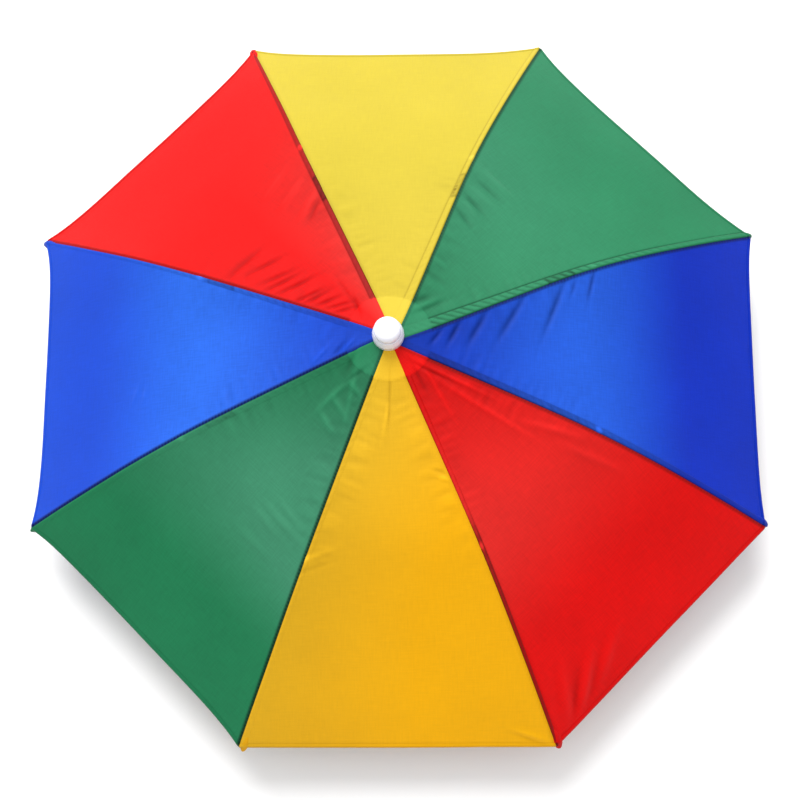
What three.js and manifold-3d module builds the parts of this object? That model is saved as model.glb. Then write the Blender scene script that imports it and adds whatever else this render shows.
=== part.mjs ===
// An umbrella hat: an open canopy of eight cloth panels on folding ribs, worn on an elastic headband.
// Millimetres, +Z up. The hat rests on its headband at Z 0, and the rib tips stand evenly round the Z axis.
// Panels, ribs and tips are numbered clockwise from above, starting with the back panel at +Y.
import * as THREE from "three";
import { mergeVertices } from "three/addons/utils/BufferGeometryUtils.js";
import Module from "manifold-3d";

const wasm = await Module();
wasm.setup();

// The canopy
const RIB_COUNT = 8;
const TIP_RADIUS = 280; // from the Z axis to the end of a rib tip
const TIP_HEIGHT = 42; // the cloth at the tips, above the surface that the headband rests on
const CROWN_RISE = 110; // the cloth at the crown, above the tips
const CROWN_LEAN = -3; // how far the crown sits from the middle of the tips, along X
const CLOTH = 1; // thickness of a panel
const GAP = 0.3; // between pieces that lie on each other
const HEM_INSET = 3.5; // how far a tight hem bows in from the line between its corners
const HEM_SQUARENESS = 6; // how suddenly a hem turns out to its corners
const SAG = 6; // how far a panel hangs below the straight line from rib to rib
const SEAM_SHIFT = 2.6; // how far a seam lies clockwise of its rib at the crown

// The crown's second layer, the seam allowances and the tips
const PATCH_RADIUS = 27;
const SEAM_BEFORE = 4.5; // seam allowance under the panel anticlockwise of the seam
const SEAM_AFTER = 1.5; // and under the panel clockwise of it
const TIP_REACH = 4; // how far a tip stands out past the corner of the hems
const TIP_LENGTH = 14;
const TIP_OUTER = 2.7;
const TIP_WALL = 1;

// The frame of steel rods
const RIB_SLACK = 0.4; // room over a rib where the cloth beside it sags
const RIB_RADIUS = 1.2;
const SLEEVE_RADIUS = 2;
const SLEEVE_OUT = 0.45; // where a rib's joint sleeve lies, as a share of the way from crown to tip
const SLEEVE_LENGTH = 20;
const STRETCHER_RADIUS = 1;

// The white plastic parts on the post
const POST_RADIUS = 3.5;
const CROWN_HOLE_CLEARANCE = 2.5; // between the post and the edge of the cloth
const CAP_BASE_RADIUS = 10.4;
const CAP_BASE_HEIGHT = 4.5;
const CAP_TOP_RADIUS = 9;
const CAP_HEIGHT = 15;
const CAP_ROUNDING = 4;
const CAP_STEP = 0.6; // the bevel round the top of its base
const CAP_BORE_DEPTH = 10;
const HUB_RADIUS = 12;
const HUB_HEIGHT = 9;
const RUNNER_HEIGHT = 14;
const RUNNER_FLANGE = 5; // height of each of its two flanges
const RUNNER_RADIUS = 13;
const WAIST_RADIUS = 9;
const SLOT_WALL = 2.7; // between the post's bore and the slots for rods

// The headband and the arms that carry it
const HEAD_ROOM = 100; // from the surface up to the runner
const BAND_RADIUS = 85; // outside of the elastic
const BAND_HEIGHT = 25;
const BAND_WALL = 2;
const ARM_COUNT = 4;
const ARM_WIDTH = 9;
const ARM_WALL = 2.4;
const ARM_SHOULDER = 34; // radius where an arm starts to curve down
const ARM_BEND_BOTTOM = 48; // height where it is upright
const CLIP_OUTSIDE = 20; // how far the clip's outer leg reaches down the band
const CLIP_INSIDE = 12;
const CLIP_CLEARANCE = 0.45; // the flat clip on the round band

// How finely the round and curved faces are cut
const ROUND_SIDES = 32;
const BAND_SIDES = 48;
const ROD_SIDES = 6;
const TIP_SIDES = 8;
const PANEL_COLUMNS = 10;
const SEAM_ROWS = 9;
const BEND_SEGMENTS = 8;
const OVERSHOOT = 1; // how far a cut runs past the face that it opens

const COLOURS = {
  yellow: 0xf3bd18,
  green: 0x1f7d4b,
  blue: 0x1c45d8,
  red: 0xe01b1b,
};
const COLOUR_ORDER = ["yellow", "green", "blue", "red"];

// A rib seen from the side: out is the share of the way from the crown to the tip,
// up the share of CROWN_RISE that the cloth still stands above the tip there.
const RIB_PROFILE = [
  { out: 0, up: 1 },
  { out: 0.12, up: 0.94 },
  { out: 0.25, up: 0.882 },
  { out: 0.4, up: 0.81 },
  { out: 0.5, up: 0.745 },
  { out: 0.6, up: 0.645 },
  { out: 0.7, up: 0.515 },
  { out: 0.8, up: 0.358 },
  { out: 0.9, up: 0.188 },
  { out: 1, up: 0 },
];

// How deep the middle of a panel hangs on its way out, as a share of SAG.
const PANEL_SAG = [
  { out: 0, drop: 0 },
  { out: 0.2, drop: 0.2 },
  { out: 0.4, drop: 0.6 },
  { out: 0.6, drop: 1 },
  { out: 0.8, drop: 0.95 },
  { out: 1, drop: 0.3 },
];

// How far each hem bows in, as a share of HEM_INSET. The slack ones bow out instead.
const HEMS = [
  { panel: 1, bow: 0.75 },
  { panel: 2, bow: 0.65 },
  { panel: 3, bow: 0.3 },
  { panel: 4, bow: -0.95 },
  { panel: 5, bow: -1 },
  { panel: 6, bow: 0.2 },
  { panel: 7, bow: 0.85 },
  { panel: 8, bow: 0.65 },
];

// The broad folds of the cloth. across runs from -1 at a panel's anticlockwise seam to 1 at its clockwise
// one, long and wide are half lengths as shares of TIP_RADIUS, turn is the fold's direction in degrees
// from the panel's middle line, and high is the fold's height as a share of SAG.
const FOLDS = [
  { panel: 4, out: 0.88, across: 0.62, long: 0.09, wide: 0.022, turn: 24, high: 0.3 },
  { panel: 4, out: 0.87, across: 0.4, long: 0.08, wide: 0.022, turn: 30, high: -0.25 },
  { panel: 4, out: 0.5, across: 0.05, long: 0.2, wide: 0.04, turn: -55, high: 0.2 },
  { panel: 3, out: 0.36, across: -0.5, long: 0.07, wide: 0.025, turn: 60, high: -0.2 },
  { panel: 6, out: 0.5, across: -0.55, long: 0.09, wide: 0.025, turn: -60, high: 0.2 },
  { panel: 8, out: 0.32, across: -0.3, long: 0.09, wide: 0.03, turn: 60, high: 0.2 },
  { panel: 2, out: 0.5, across: -0.6, long: 0.08, wide: 0.025, turn: -50, high: 0.2 },
];

const STEP = (2 * Math.PI) / RIB_COUNT;
const PANEL_REACH = TIP_RADIUS * Math.cos(STEP / 2);
const CORNER_OUT = 1 - TIP_REACH / TIP_RADIUS;
const CROWN = new THREE.Vector2(CROWN_LEAN, 0);
const CROWN_TOP = TIP_HEIGHT + CROWN_RISE;
const CROWN_HOLE = POST_RADIUS + CROWN_HOLE_CLEARANCE;
const BORE_RADIUS = POST_RADIUS + GAP;
const SLOT_FLOOR = BORE_RADIUS + SLOT_WALL;
const TWO_LAYERS = 2 * CLOTH + 2 * GAP; // the cloth, what is sewn under it, and the gaps below both
const RIB_DEPTH = TWO_LAYERS + RIB_SLACK; // top of a rib below the top of the cloth

// Places on the canopy

// A smooth value from a table whose rows run outwards: a cubic through each row.
function fromTable(rows, column, out) {
  const last = rows.length - 1;
  const slopeAt = (i) => {
    const before = rows[Math.max(i - 1, 0)];
    const after = rows[Math.min(i + 1, last)];
    return (after[column] - before[column]) / (after.out - before.out);
  };
  let i = 0;
  while (i < last - 1 && out > rows[i + 1].out) i += 1;
  const span = rows[i + 1].out - rows[i].out;
  const t = (out - rows[i].out) / span;
  const rise = 3 * t * t - 2 * t * t * t;
  return (
    rows[i][column] * (1 - rise) +
    rows[i + 1][column] * rise +
    slopeAt(i) * span * t * (1 - t) * (1 - t) -
    slopeAt(i + 1) * span * t * t * (1 - t)
  );
}

// Rib 0 is rib RIB_COUNT: the count goes round.
function ribAngle(rib) {
  return Math.PI / 2 - STEP * (rib - 0.5);
}

function ribDirection(rib) {
  return tipPlan(rib).sub(CROWN).normalize();
}

function tipPlan(rib) {
  const angle = ribAngle(rib);
  return new THREE.Vector2(Math.cos(angle), Math.sin(angle)).multiplyScalar(TIP_RADIUS);
}

function ribPlan(rib, out) {
  return CROWN.clone().lerp(tipPlan(rib), out);
}

// The seam starts a little clockwise of its rib at the crown and runs onto it.
function seamPlan(rib, out) {
  const angle = ribAngle(rib);
  const clockwise = new THREE.Vector2(Math.sin(angle), -Math.cos(angle));
  return ribPlan(rib, out).addScaledVector(clockwise, SEAM_SHIFT * (1 - out) ** 3);
}

function heightAt(out) {
  return TIP_HEIGHT + CROWN_RISE * fromTable(RIB_PROFILE, "up", out);
}

// How steeply a rib falls there.
function fallAt(out) {
  const nudge = 0.001;
  return (heightAt(out - nudge) - heightAt(out + nudge)) / (2 * nudge * TIP_RADIUS);
}

// The unit vector out of the cloth in the upright plane through that direction.
function outward(direction, out) {
  const fall = fallAt(out);
  return new THREE.Vector3(direction.x * fall, direction.y * fall, 1).normalize();
}

// How far a point this deep under the cloth lies back from its place in plan, as a share of TIP_RADIUS.
function leanAt(out, depth) {
  return (depth * Math.sin(Math.atan(fallAt(out)))) / TIP_RADIUS;
}

function foldHeight(panel, out, across) {
  let height = 0;
  for (const fold of FOLDS.filter((row) => row.panel === panel)) {
    const half = out * Math.sin(STEP / 2);
    const along = (out - fold.out) * Math.cos(STEP / 2);
    const aside = (across - fold.across) * half;
    const turn = THREE.MathUtils.degToRad(fold.turn);
    const u = (along * Math.cos(turn) + aside * Math.sin(turn)) / fold.long;
    const v = (aside * Math.cos(turn) - along * Math.sin(turn)) / fold.wide;
    height += SAG * fold.high * Math.exp(-u * u - v * v);
  }
  return height * (1 - across ** 4);
}

// A point of a panel, depth below the top of the cloth. out is 0 at the crown and 1 at the hem,
// across -1 and 1 at the panel's two seams, and margin keeps the cloth off the seam lines.
function clothPoint(panel, out, across, depth, margin = 0) {
  const inset = HEM_INSET * HEMS.find((row) => row.panel === panel).bow;
  const bow = (inset / PANEL_REACH) * (1 - Math.abs(across) ** HEM_SQUARENESS);
  const way = out * (CORNER_OUT - bow);
  const from = seamPlan(panel - 1, way);
  const to = seamPlan(panel, way);
  const width = from.distanceTo(to);
  const share = 0.5 + across * (0.5 - margin / width);
  const plan = from.lerp(to, share);
  const drop = SAG * fromTable(PANEL_SAG, "drop", way) * (1 - across * across);
  const top = heightAt(way) - drop + foldHeight(panel, way, across);
  const direction = ribDirection(panel - 1).lerp(ribDirection(panel), 0.5 + across / 2).normalize();
  return new THREE.Vector3(plan.x, plan.y, top).addScaledVector(outward(direction, way), -depth);
}

// A point under a rib's own line.
function ribPoint(rib, out, depth) {
  const plan = ribPlan(rib, out);
  const up = outward(ribDirection(rib), out);
  return new THREE.Vector3(plan.x, plan.y, heightAt(out)).addScaledVector(up, -depth);
}

// Closed solids from rows of points

function geometryOf(points, faces) {
  const geometry = new THREE.BufferGeometry().setFromPoints(points);
  geometry.setIndex(faces.flat());
  geometry.computeVertexNormals();
  return geometry;
}

// A sheet with a top and a bottom, each a grid of points: rows run outwards, and points in a row clockwise.
// A sheet that goes all the way round has round true.
function sheetSolid(top, bottom, round = false) {
  const rows = top.length;
  const columns = top[0].length;
  const points = [...top.flat(), ...bottom.flat()];
  const at = (layer, i, j) => layer * rows * columns + i * columns + (j % columns);
  const faces = [];
  const quad = (a, b, c, d) => faces.push([a, b, c], [a, c, d]);
  const spans = round ? columns : columns - 1;
  for (let i = 0; i < rows - 1; i += 1) {
    for (let j = 0; j < spans; j += 1) {
      quad(at(0, i, j), at(0, i, j + 1), at(0, i + 1, j + 1), at(0, i + 1, j));
      quad(at(1, i, j), at(1, i + 1, j), at(1, i + 1, j + 1), at(1, i, j + 1));
    }
  }
  for (let j = 0; j < spans; j += 1) {
    quad(at(0, 0, j), at(1, 0, j), at(1, 0, j + 1), at(0, 0, j + 1));
    quad(at(0, rows - 1, j + 1), at(1, rows - 1, j + 1), at(1, rows - 1, j), at(0, rows - 1, j));
  }
  if (!round) {
    const end = columns - 1;
    for (let i = 0; i < rows - 1; i += 1) {
      quad(at(0, i + 1, 0), at(1, i + 1, 0), at(1, i, 0), at(0, i, 0));
      quad(at(0, i, end), at(1, i, end), at(1, i + 1, end), at(0, i + 1, end));
    }
  }
  return geometryOf(points, faces);
}

// A body through rings of equal count, closed flat at its first and last ring.
function ringSolid(rings) {
  const sides = rings[0].length;
  const faces = [];
  const at = (i, j) => i * sides + (j % sides);
  for (let i = 0; i < rings.length - 1; i += 1) {
    for (let j = 0; j < sides; j += 1) {
      faces.push([at(i, j), at(i, j + 1), at(i + 1, j + 1)], [at(i, j), at(i + 1, j + 1), at(i + 1, j)]);
    }
  }
  for (let j = 1; j < sides - 1; j += 1) {
    faces.push([at(0, 0), at(0, j + 1), at(0, j)]);
    faces.push([at(rings.length - 1, 0), at(rings.length - 1, j), at(rings.length - 1, j + 1)]);
  }
  return geometryOf(rings.flat(), faces);
}

// A ring of points round a rod's middle line, which runs outwards between up and side.
function ring(centre, side, up, radius, sides) {
  return Array.from({ length: sides }, (_, j) => {
    const angle = (2 * Math.PI * (j + 0.5)) / sides;
    return centre
      .clone()
      .addScaledVector(side, radius * Math.cos(angle))
      .addScaledVector(up, radius * Math.sin(angle));
  });
}

// The level direction that, with a rib's way out and up, completes a ring's frame.
function sideOf(rib) {
  const direction = ribDirection(rib);
  return new THREE.Vector3(-direction.y, direction.x, 0);
}

// Turned parts are drawn as radius and height, and stand on the crown's axis.
function turned(profile, sides = ROUND_SIDES) {
  const points = profile.map(([radius, height]) => new THREE.Vector2(radius, height));
  return new THREE.LatheGeometry(points, sides).rotateX(Math.PI / 2).translate(CROWN.x, CROWN.y, 0);
}

function solidOf(geometry) {
  const bare = geometry.clone();
  bare.deleteAttribute("normal");
  bare.deleteAttribute("uv");
  const merged = mergeVertices(bare, 1e-3);
  return new wasm.Manifold(
    new wasm.Mesh({
      numProp: 3,
      vertProperties: merged.attributes.position.array,
      triVerts: new Uint32Array(merged.index.array),
    }),
  );
}

function cutAway(geometry, cutters) {
  const mesh = cutters
    .reduce((solid, cutter) => solid.subtract(solidOf(cutter)), solidOf(geometry))
    .getMesh();
  const left = new THREE.BufferGeometry();
  left.setAttribute("position", new THREE.BufferAttribute(mesh.vertProperties, 3));
  left.setIndex(new THREE.BufferAttribute(mesh.triVerts, 1));
  left.computeVertexNormals();
  return left;
}

// A slot cut in from the rim of a turned part, on the crown's axis, in a direction.
function slot(angle, from, to, width, bottom, top) {
  return new THREE.BoxGeometry(to - from, width, top - bottom)
    .translate((from + to) / 2, 0, (bottom + top) / 2)
    .rotateZ(angle)
    .translate(CROWN.x, CROWN.y, 0);
}

// Sub-parts

// Rows lie closer together where the ribs bend and towards the hem.
const PANEL_ROWS = [0, 0.08, 0.17, 0.26, 0.35, 0.44, 0.52, 0.59, 0.66, 0.73, 0.8, 0.87, 0.94, 1];
const CROWN_OUT = CROWN_HOLE / TIP_RADIUS;

function panelGeometry(panel) {
  const layer = (depth) =>
    PANEL_ROWS.map((row) =>
      Array.from({ length: PANEL_COLUMNS + 1 }, (_, j) => {
        const across = Math.sin((Math.PI / 2) * (2 * (j / PANEL_COLUMNS) - 1));
        return clothPoint(panel, CROWN_OUT + (1 - CROWN_OUT) * row, across, depth, GAP / 2);
      }),
    );
  return sheetSolid(layer(0), layer(CLOTH));
}

function patchGeometry() {
  const rows = [CROWN_HOLE, (CROWN_HOLE + PATCH_RADIUS) / 2, PATCH_RADIUS];
  const columns = [-1, -1 / 3, 1 / 3];
  const layer = (depth) =>
    rows.map((radius) =>
      Array.from({ length: RIB_COUNT }, (_, i) =>
        columns.map((across) => clothPoint(i + 1, radius / TIP_RADIUS, across, depth)),
      ).flat(),
    );
  return sheetSolid(layer(CLOTH + GAP), layer(2 * CLOTH + GAP), true);
}

function seamGeometry(rib) {
  const start = (PATCH_RADIUS + 2 * GAP) / TIP_RADIUS;
  const end = tipEnd() - (TIP_LENGTH + TIP_OUTER) / TIP_RADIUS;
  const after = (rib % RIB_COUNT) + 1;
  const layer = (depth) =>
    Array.from({ length: SEAM_ROWS }, (_, i) => {
      const out = start + ((end - start) * i) / (SEAM_ROWS - 1);
      const width = seamPlan(rib - 1, out).distanceTo(seamPlan(rib, out));
      return [
        clothPoint(rib, out, 1 - (2 * SEAM_BEFORE) / width, depth),
        clothPoint(rib, out, 1, depth),
        clothPoint(after, out, (2 * SEAM_AFTER) / width - 1, depth),
      ];
    });
  return sheetSolid(layer(CLOTH + GAP), layer(2 * CLOTH + GAP));
}

// A rod that follows the cloth, with its joint sleeve half way. The tops of rod and sleeve are level.
function ribGeometry(rib) {
  const half = SLEEVE_LENGTH / 2 / TIP_RADIUS;
  const step = GAP / TIP_RADIUS;
  const inner = (SLOT_FLOOR + GAP) / TIP_RADIUS + leanAt(0, RIB_DEPTH + 2 * RIB_RADIUS);
  const outer = tipEnd() - (TIP_WALL + GAP) / TIP_RADIUS;
  const plain = (out) => ({ out, radius: RIB_RADIUS });
  const sleeve = (out) => ({ out, radius: SLEEVE_RADIUS });
  const between = (from, to) => RIB_PROFILE.map((row) => row.out).filter((out) => out > from && out < to);
  const sleeveStart = SLEEVE_OUT - half;
  const sleeveEnd = SLEEVE_OUT + half;
  const stations = [
    ...[inner, ...between(inner, sleeveStart - step), sleeveStart - step].map(plain),
    ...[sleeveStart, sleeveEnd].map(sleeve),
    ...[sleeveEnd + step, ...between(sleeveEnd + step, 1), outer].map(plain),
  ];
  return ringSolid(
    stations.map(({ out, radius }) =>
      ring(
        ribPoint(rib, out, RIB_DEPTH + radius),
        sideOf(rib),
        outward(ribDirection(rib), out),
        radius,
        ROD_SIDES,
      ),
    ),
  );
}

// Where a tip ends along its rib, so that in plan it reaches TIP_RADIUS.
function tipEnd() {
  return 1 + leanAt(1, RIB_DEPTH + RIB_RADIUS);
}

// A cloth pocket over the end of a rib: along the inside of its bore, round the mouth and out to the end.
function tipGeometry(rib) {
  const bore = TIP_OUTER - TIP_WALL;
  const end = (back) => tipEnd() - back / TIP_RADIUS;
  const stations = [
    { out: end(TIP_WALL), radius: bore },
    { out: end(TIP_LENGTH), radius: bore },
    { out: end(TIP_LENGTH), radius: TIP_OUTER },
    { out: end(TIP_OUTER), radius: TIP_OUTER },
    { out: end(TIP_OUTER * 0.35), radius: TIP_OUTER * 0.8 },
    { out: end(0), radius: TIP_OUTER * 0.3 },
  ];
  const depth = RIB_DEPTH + RIB_RADIUS;
  return ringSolid(
    stations.map(({ out, radius }) =>
      ring(ribPoint(rib, out, depth), sideOf(rib), outward(ribDirection(rib), out), radius, TIP_SIDES),
    ),
  );
}

// A straight rod from the runner's upper flange to the underside of the rib's sleeve.
function stretcherGeometry(rib) {
  const direction = ribDirection(rib);
  const inner = SLOT_FLOOR + GAP;
  const middle = HEAD_ROOM + RUNNER_HEIGHT - RUNNER_FLANGE / 2;
  const from = new THREE.Vector3(CROWN.x + direction.x * inner, CROWN.y + direction.y * inner, middle);
  const to = ribPoint(rib, SLEEVE_OUT, RIB_DEPTH + 2 * SLEEVE_RADIUS + GAP + STRETCHER_RADIUS);
  const side = sideOf(rib);
  const up = to.clone().sub(from).normalize().cross(side);
  return ringSolid([from, to].map((centre) => ring(centre, side, up, STRETCHER_RADIUS, ROD_SIDES)));
}

// How low the cloth comes at a radius from the post: the middle of a panel is its lowest place.
function lowestCloth(radius) {
  return clothPoint(1, radius / TIP_RADIUS / Math.cos(STEP / 2), 0, 0).z;
}

function capGeometry() {
  const top = CROWN_TOP + CAP_HEIGHT;
  const seat = (radius) => heightAt(radius / TIP_RADIUS) + GAP;
  const shoulder = CROWN_TOP + CAP_BASE_HEIGHT;
  const round = [0, 30, 60, 90].map((degrees) => {
    const angle = THREE.MathUtils.degToRad(degrees);
    return [
      CAP_TOP_RADIUS - CAP_ROUNDING + CAP_ROUNDING * Math.cos(angle),
      top - CAP_ROUNDING + CAP_ROUNDING * Math.sin(angle),
    ];
  });
  return turned([
    [0, CROWN_TOP + CAP_BORE_DEPTH],
    [BORE_RADIUS, CROWN_TOP + CAP_BORE_DEPTH],
    [BORE_RADIUS, seat(BORE_RADIUS)],
    [CAP_BASE_RADIUS, seat(CAP_BASE_RADIUS)],
    [CAP_BASE_RADIUS, shoulder - 2 * CAP_STEP],
    [CAP_BASE_RADIUS - CAP_STEP, shoulder],
    [CAP_TOP_RADIUS + CAP_STEP, shoulder],
    [CAP_TOP_RADIUS, shoulder + CAP_STEP],
    ...round,
    [0, top],
  ]);
}

function hubGeometry() {
  const top = lowestCloth(HUB_RADIUS) - TWO_LAYERS;
  const bottom = top - HUB_HEIGHT;
  const disc = turned([
    [BORE_RADIUS, bottom],
    [HUB_RADIUS, bottom],
    [HUB_RADIUS, top],
    [BORE_RADIUS, lowestCloth(BORE_RADIUS) - TWO_LAYERS],
    [BORE_RADIUS, bottom],
  ]);
  const floor = heightAt(HUB_RADIUS / TIP_RADIUS) - RIB_DEPTH - 2 * RIB_RADIUS - 2 * GAP;
  const cutters = Array.from({ length: RIB_COUNT }, (_, i) =>
    slot(
      ribDirection(i + 1).angle(),
      SLOT_FLOOR,
      HUB_RADIUS + OVERSHOOT,
      2 * (RIB_RADIUS + GAP),
      floor,
      CROWN_TOP,
    ),
  );
  return cutAway(disc, cutters);
}

function runnerGeometry() {
  const top = HEAD_ROOM + RUNNER_HEIGHT;
  const spool = turned([
    [BORE_RADIUS, HEAD_ROOM],
    [RUNNER_RADIUS, HEAD_ROOM],
    [RUNNER_RADIUS, HEAD_ROOM + RUNNER_FLANGE],
    [WAIST_RADIUS, HEAD_ROOM + RUNNER_FLANGE],
    [WAIST_RADIUS, top - RUNNER_FLANGE],
    [RUNNER_RADIUS, top - RUNNER_FLANGE],
    [RUNNER_RADIUS, top],
    [BORE_RADIUS, top],
    [BORE_RADIUS, HEAD_ROOM],
  ]);
  const rim = RUNNER_RADIUS + OVERSHOOT;
  const rodSlots = Array.from({ length: RIB_COUNT }, (_, i) =>
    slot(
      ribDirection(i + 1).angle(),
      SLOT_FLOOR,
      rim,
      2 * (STRETCHER_RADIUS + GAP),
      top - RUNNER_FLANGE / 2 - STRETCHER_RADIUS - 2 * GAP,
      top + OVERSHOOT,
    ),
  );
  const armSlots = Array.from({ length: ARM_COUNT }, (_, i) =>
    slot(
      armAngle(i),
      WAIST_RADIUS,
      rim,
      ARM_WIDTH + 2 * GAP,
      HEAD_ROOM - OVERSHOOT,
      HEAD_ROOM + RUNNER_FLANGE + OVERSHOOT,
    ),
  );
  return cutAway(spool, [...rodSlots, ...armSlots]);
}

function postGeometry() {
  const bottom = HEAD_ROOM;
  const top = CROWN_TOP + CAP_BORE_DEPTH - GAP;
  return turned([
    [0, bottom],
    [POST_RADIUS, bottom],
    [POST_RADIUS, top],
    [0, top],
  ]);
}

function bandGeometry() {
  const inside = BAND_RADIUS - BAND_WALL;
  return turned(
    [
      [inside, 0],
      [BAND_RADIUS, 0],
      [BAND_RADIUS, BAND_HEIGHT],
      [inside, BAND_HEIGHT],
      [inside, 0],
    ],
    BAND_SIDES,
  );
}

function armAngle(arm) {
  return (2 * Math.PI * arm) / ARM_COUNT;
}

// An arm's outline from the side: level out of the runner, a quarter ellipse down, and a clip over the
// band's top edge.
function armGeometry() {
  const middle = HEAD_ROOM + RUNNER_FLANGE / 2;
  const legInner = BAND_RADIUS + CLIP_CLEARANCE;
  const legOuter = legInner + ARM_WALL;
  const hookOuter = BAND_RADIUS - BAND_WALL - CLIP_CLEARANCE;
  const hookInner = hookOuter - ARM_WALL;
  const bandTop = BAND_HEIGHT + GAP;
  const wide = legOuter - ARM_SHOULDER;
  const high = middle + ARM_WALL / 2 - ARM_BEND_BOTTOM;
  const outline = new THREE.Shape();
  outline.moveTo(WAIST_RADIUS + GAP, middle - ARM_WALL / 2);
  outline.lineTo(ARM_SHOULDER, middle - ARM_WALL / 2);
  outline.absellipse(ARM_SHOULDER, ARM_BEND_BOTTOM, wide - ARM_WALL, high - ARM_WALL, Math.PI / 2, 0, true);
  outline.lineTo(legInner, bandTop + ARM_WALL);
  outline.lineTo(hookInner, bandTop + ARM_WALL);
  outline.lineTo(hookInner, BAND_HEIGHT - CLIP_INSIDE);
  outline.lineTo(hookOuter, BAND_HEIGHT - CLIP_INSIDE);
  outline.lineTo(hookOuter, bandTop);
  outline.lineTo(legInner, bandTop);
  outline.lineTo(legInner, BAND_HEIGHT - CLIP_OUTSIDE);
  outline.lineTo(legOuter, BAND_HEIGHT - CLIP_OUTSIDE);
  outline.lineTo(legOuter, ARM_BEND_BOTTOM);
  outline.absellipse(ARM_SHOULDER, ARM_BEND_BOTTOM, wide, high, 0, Math.PI / 2, false);
  outline.lineTo(WAIST_RADIUS + GAP, middle + ARM_WALL / 2);
  outline.closePath();
  const strip = { depth: ARM_WIDTH, bevelEnabled: false, curveSegments: BEND_SEGMENTS };
  return new THREE.ExtrudeGeometry(outline, strip)
    .translate(0, 0, -ARM_WIDTH / 2)
    .rotateX(Math.PI / 2);
}

// The hat

function clothMaterial(colour) {
  return new THREE.MeshStandardMaterial({ color: COLOURS[colour], roughness: 0.6, side: THREE.DoubleSide });
}

const whitePlastic = new THREE.MeshStandardMaterial({ color: 0xf4f4f6, roughness: 0.35 });
const steel = new THREE.MeshStandardMaterial({ color: 0xc9ccd0, roughness: 0.35, metalness: 0.9 });
const elastic = new THREE.MeshStandardMaterial({ color: 0xf0f0f0, roughness: 0.8 });
const lining = new THREE.MeshStandardMaterial({ color: 0xf0f0ee, roughness: 0.7 });

function named(name, geometry, material) {
  const mesh = new THREE.Mesh(geometry, material);
  mesh.name = name;
  return mesh;
}

const canopy = new THREE.Group();
const frame = new THREE.Group();
for (let i = 1; i <= RIB_COUNT; i += 1) {
  const colour = COLOUR_ORDER[(i - 1) % COLOUR_ORDER.length];
  const cloth = clothMaterial(colour);
  canopy.add(named(`panel_${i}_${colour}`, panelGeometry(i), cloth));
  canopy.add(named(`seam_${i}`, seamGeometry(i), cloth));
  canopy.add(named(`tip_${i}`, tipGeometry(i), cloth));
  frame.add(named(`rib_${i}`, ribGeometry(i), steel));
  frame.add(named(`stretcher_${i}`, stretcherGeometry(i), steel));
}
canopy.add(named("crown_patch", patchGeometry(), lining));
frame.add(named("top_cap", capGeometry(), whitePlastic));
frame.add(named("top_hub", hubGeometry(), whitePlastic));
frame.add(named("runner", runnerGeometry(), whitePlastic));
frame.add(named("post", postGeometry(), whitePlastic));

const headgear = new THREE.Group();
headgear.add(named("headband", bandGeometry(), elastic));
for (let i = 0; i < ARM_COUNT; i += 1) {
  const arm = named(`arm_${i + 1}`, armGeometry(), whitePlastic);
  arm.rotation.z = armAngle(i);
  arm.position.set(CROWN.x, CROWN.y, 0);
  headgear.add(arm);
}

const hat = new THREE.Group();
hat.add(canopy, frame, headgear);

export default hat;
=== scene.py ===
# %% [markdown]
# # An umbrella hat
#
# The hat is a small umbrella that is worn: eight cloth panels on a folding steel frame, a white cap on top,
# and an elastic headband on four plastic arms below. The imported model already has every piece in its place.
# This lesson gives each piece the shape and the finish that the eye expects, and never moves a piece.

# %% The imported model
import math

import bpy
import numpy as np
from mathutils import Euler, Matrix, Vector, noise


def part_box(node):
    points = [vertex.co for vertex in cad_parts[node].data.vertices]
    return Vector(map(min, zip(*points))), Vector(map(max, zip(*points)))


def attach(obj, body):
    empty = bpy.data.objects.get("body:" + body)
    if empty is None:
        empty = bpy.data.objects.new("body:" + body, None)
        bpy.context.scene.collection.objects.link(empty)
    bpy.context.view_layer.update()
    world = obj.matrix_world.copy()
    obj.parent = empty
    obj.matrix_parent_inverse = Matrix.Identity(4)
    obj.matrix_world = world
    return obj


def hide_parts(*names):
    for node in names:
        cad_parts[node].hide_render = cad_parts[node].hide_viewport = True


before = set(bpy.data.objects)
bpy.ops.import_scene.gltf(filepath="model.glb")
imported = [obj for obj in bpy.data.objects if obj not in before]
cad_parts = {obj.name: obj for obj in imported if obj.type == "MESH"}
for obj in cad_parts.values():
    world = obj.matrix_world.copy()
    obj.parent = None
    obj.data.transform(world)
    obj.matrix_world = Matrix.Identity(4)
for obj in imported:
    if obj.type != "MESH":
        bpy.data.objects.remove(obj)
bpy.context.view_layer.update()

# %% [markdown]
# ## Camera
#
# The hat stands on its headband and is seen almost from straight above. A long lens keeps the eight tips
# close to a regular octagon. The camera could be aimed with a constraint, but an exact place and turn are
# easier to check against a picture.

# %% Camera
MM = 0.001
TIP_RADIUS = 280 * MM
TIPS_LEVEL = 39 * MM
CAMERA_PLACE = Vector((0.084, -1.029, 4.016)) * TIP_RADIUS + Vector((0, 0, TIPS_LEVEL))
CAMERA_TURN = (13.68, 1.18, -0.36)
LENS = 72.7

scene = bpy.context.scene
camera = bpy.data.objects.new("camera", bpy.data.cameras.new("camera"))
scene.collection.objects.link(camera)
camera.location = CAMERA_PLACE
camera.rotation_euler = Euler([math.radians(a) for a in CAMERA_TURN])
camera.data.lens = LENS
camera.data.clip_end = 20
scene.camera = camera
print("camera height:", round(camera.location.z, 3), "m")

# %% [markdown]
# ## Shader sums
#
# A procedural finish is mostly arithmetic on a few textures. Typed as node calls it is hard to read, so one
# small class wraps a socket and turns sums into Math nodes. Every other node comes from its one method.


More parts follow.
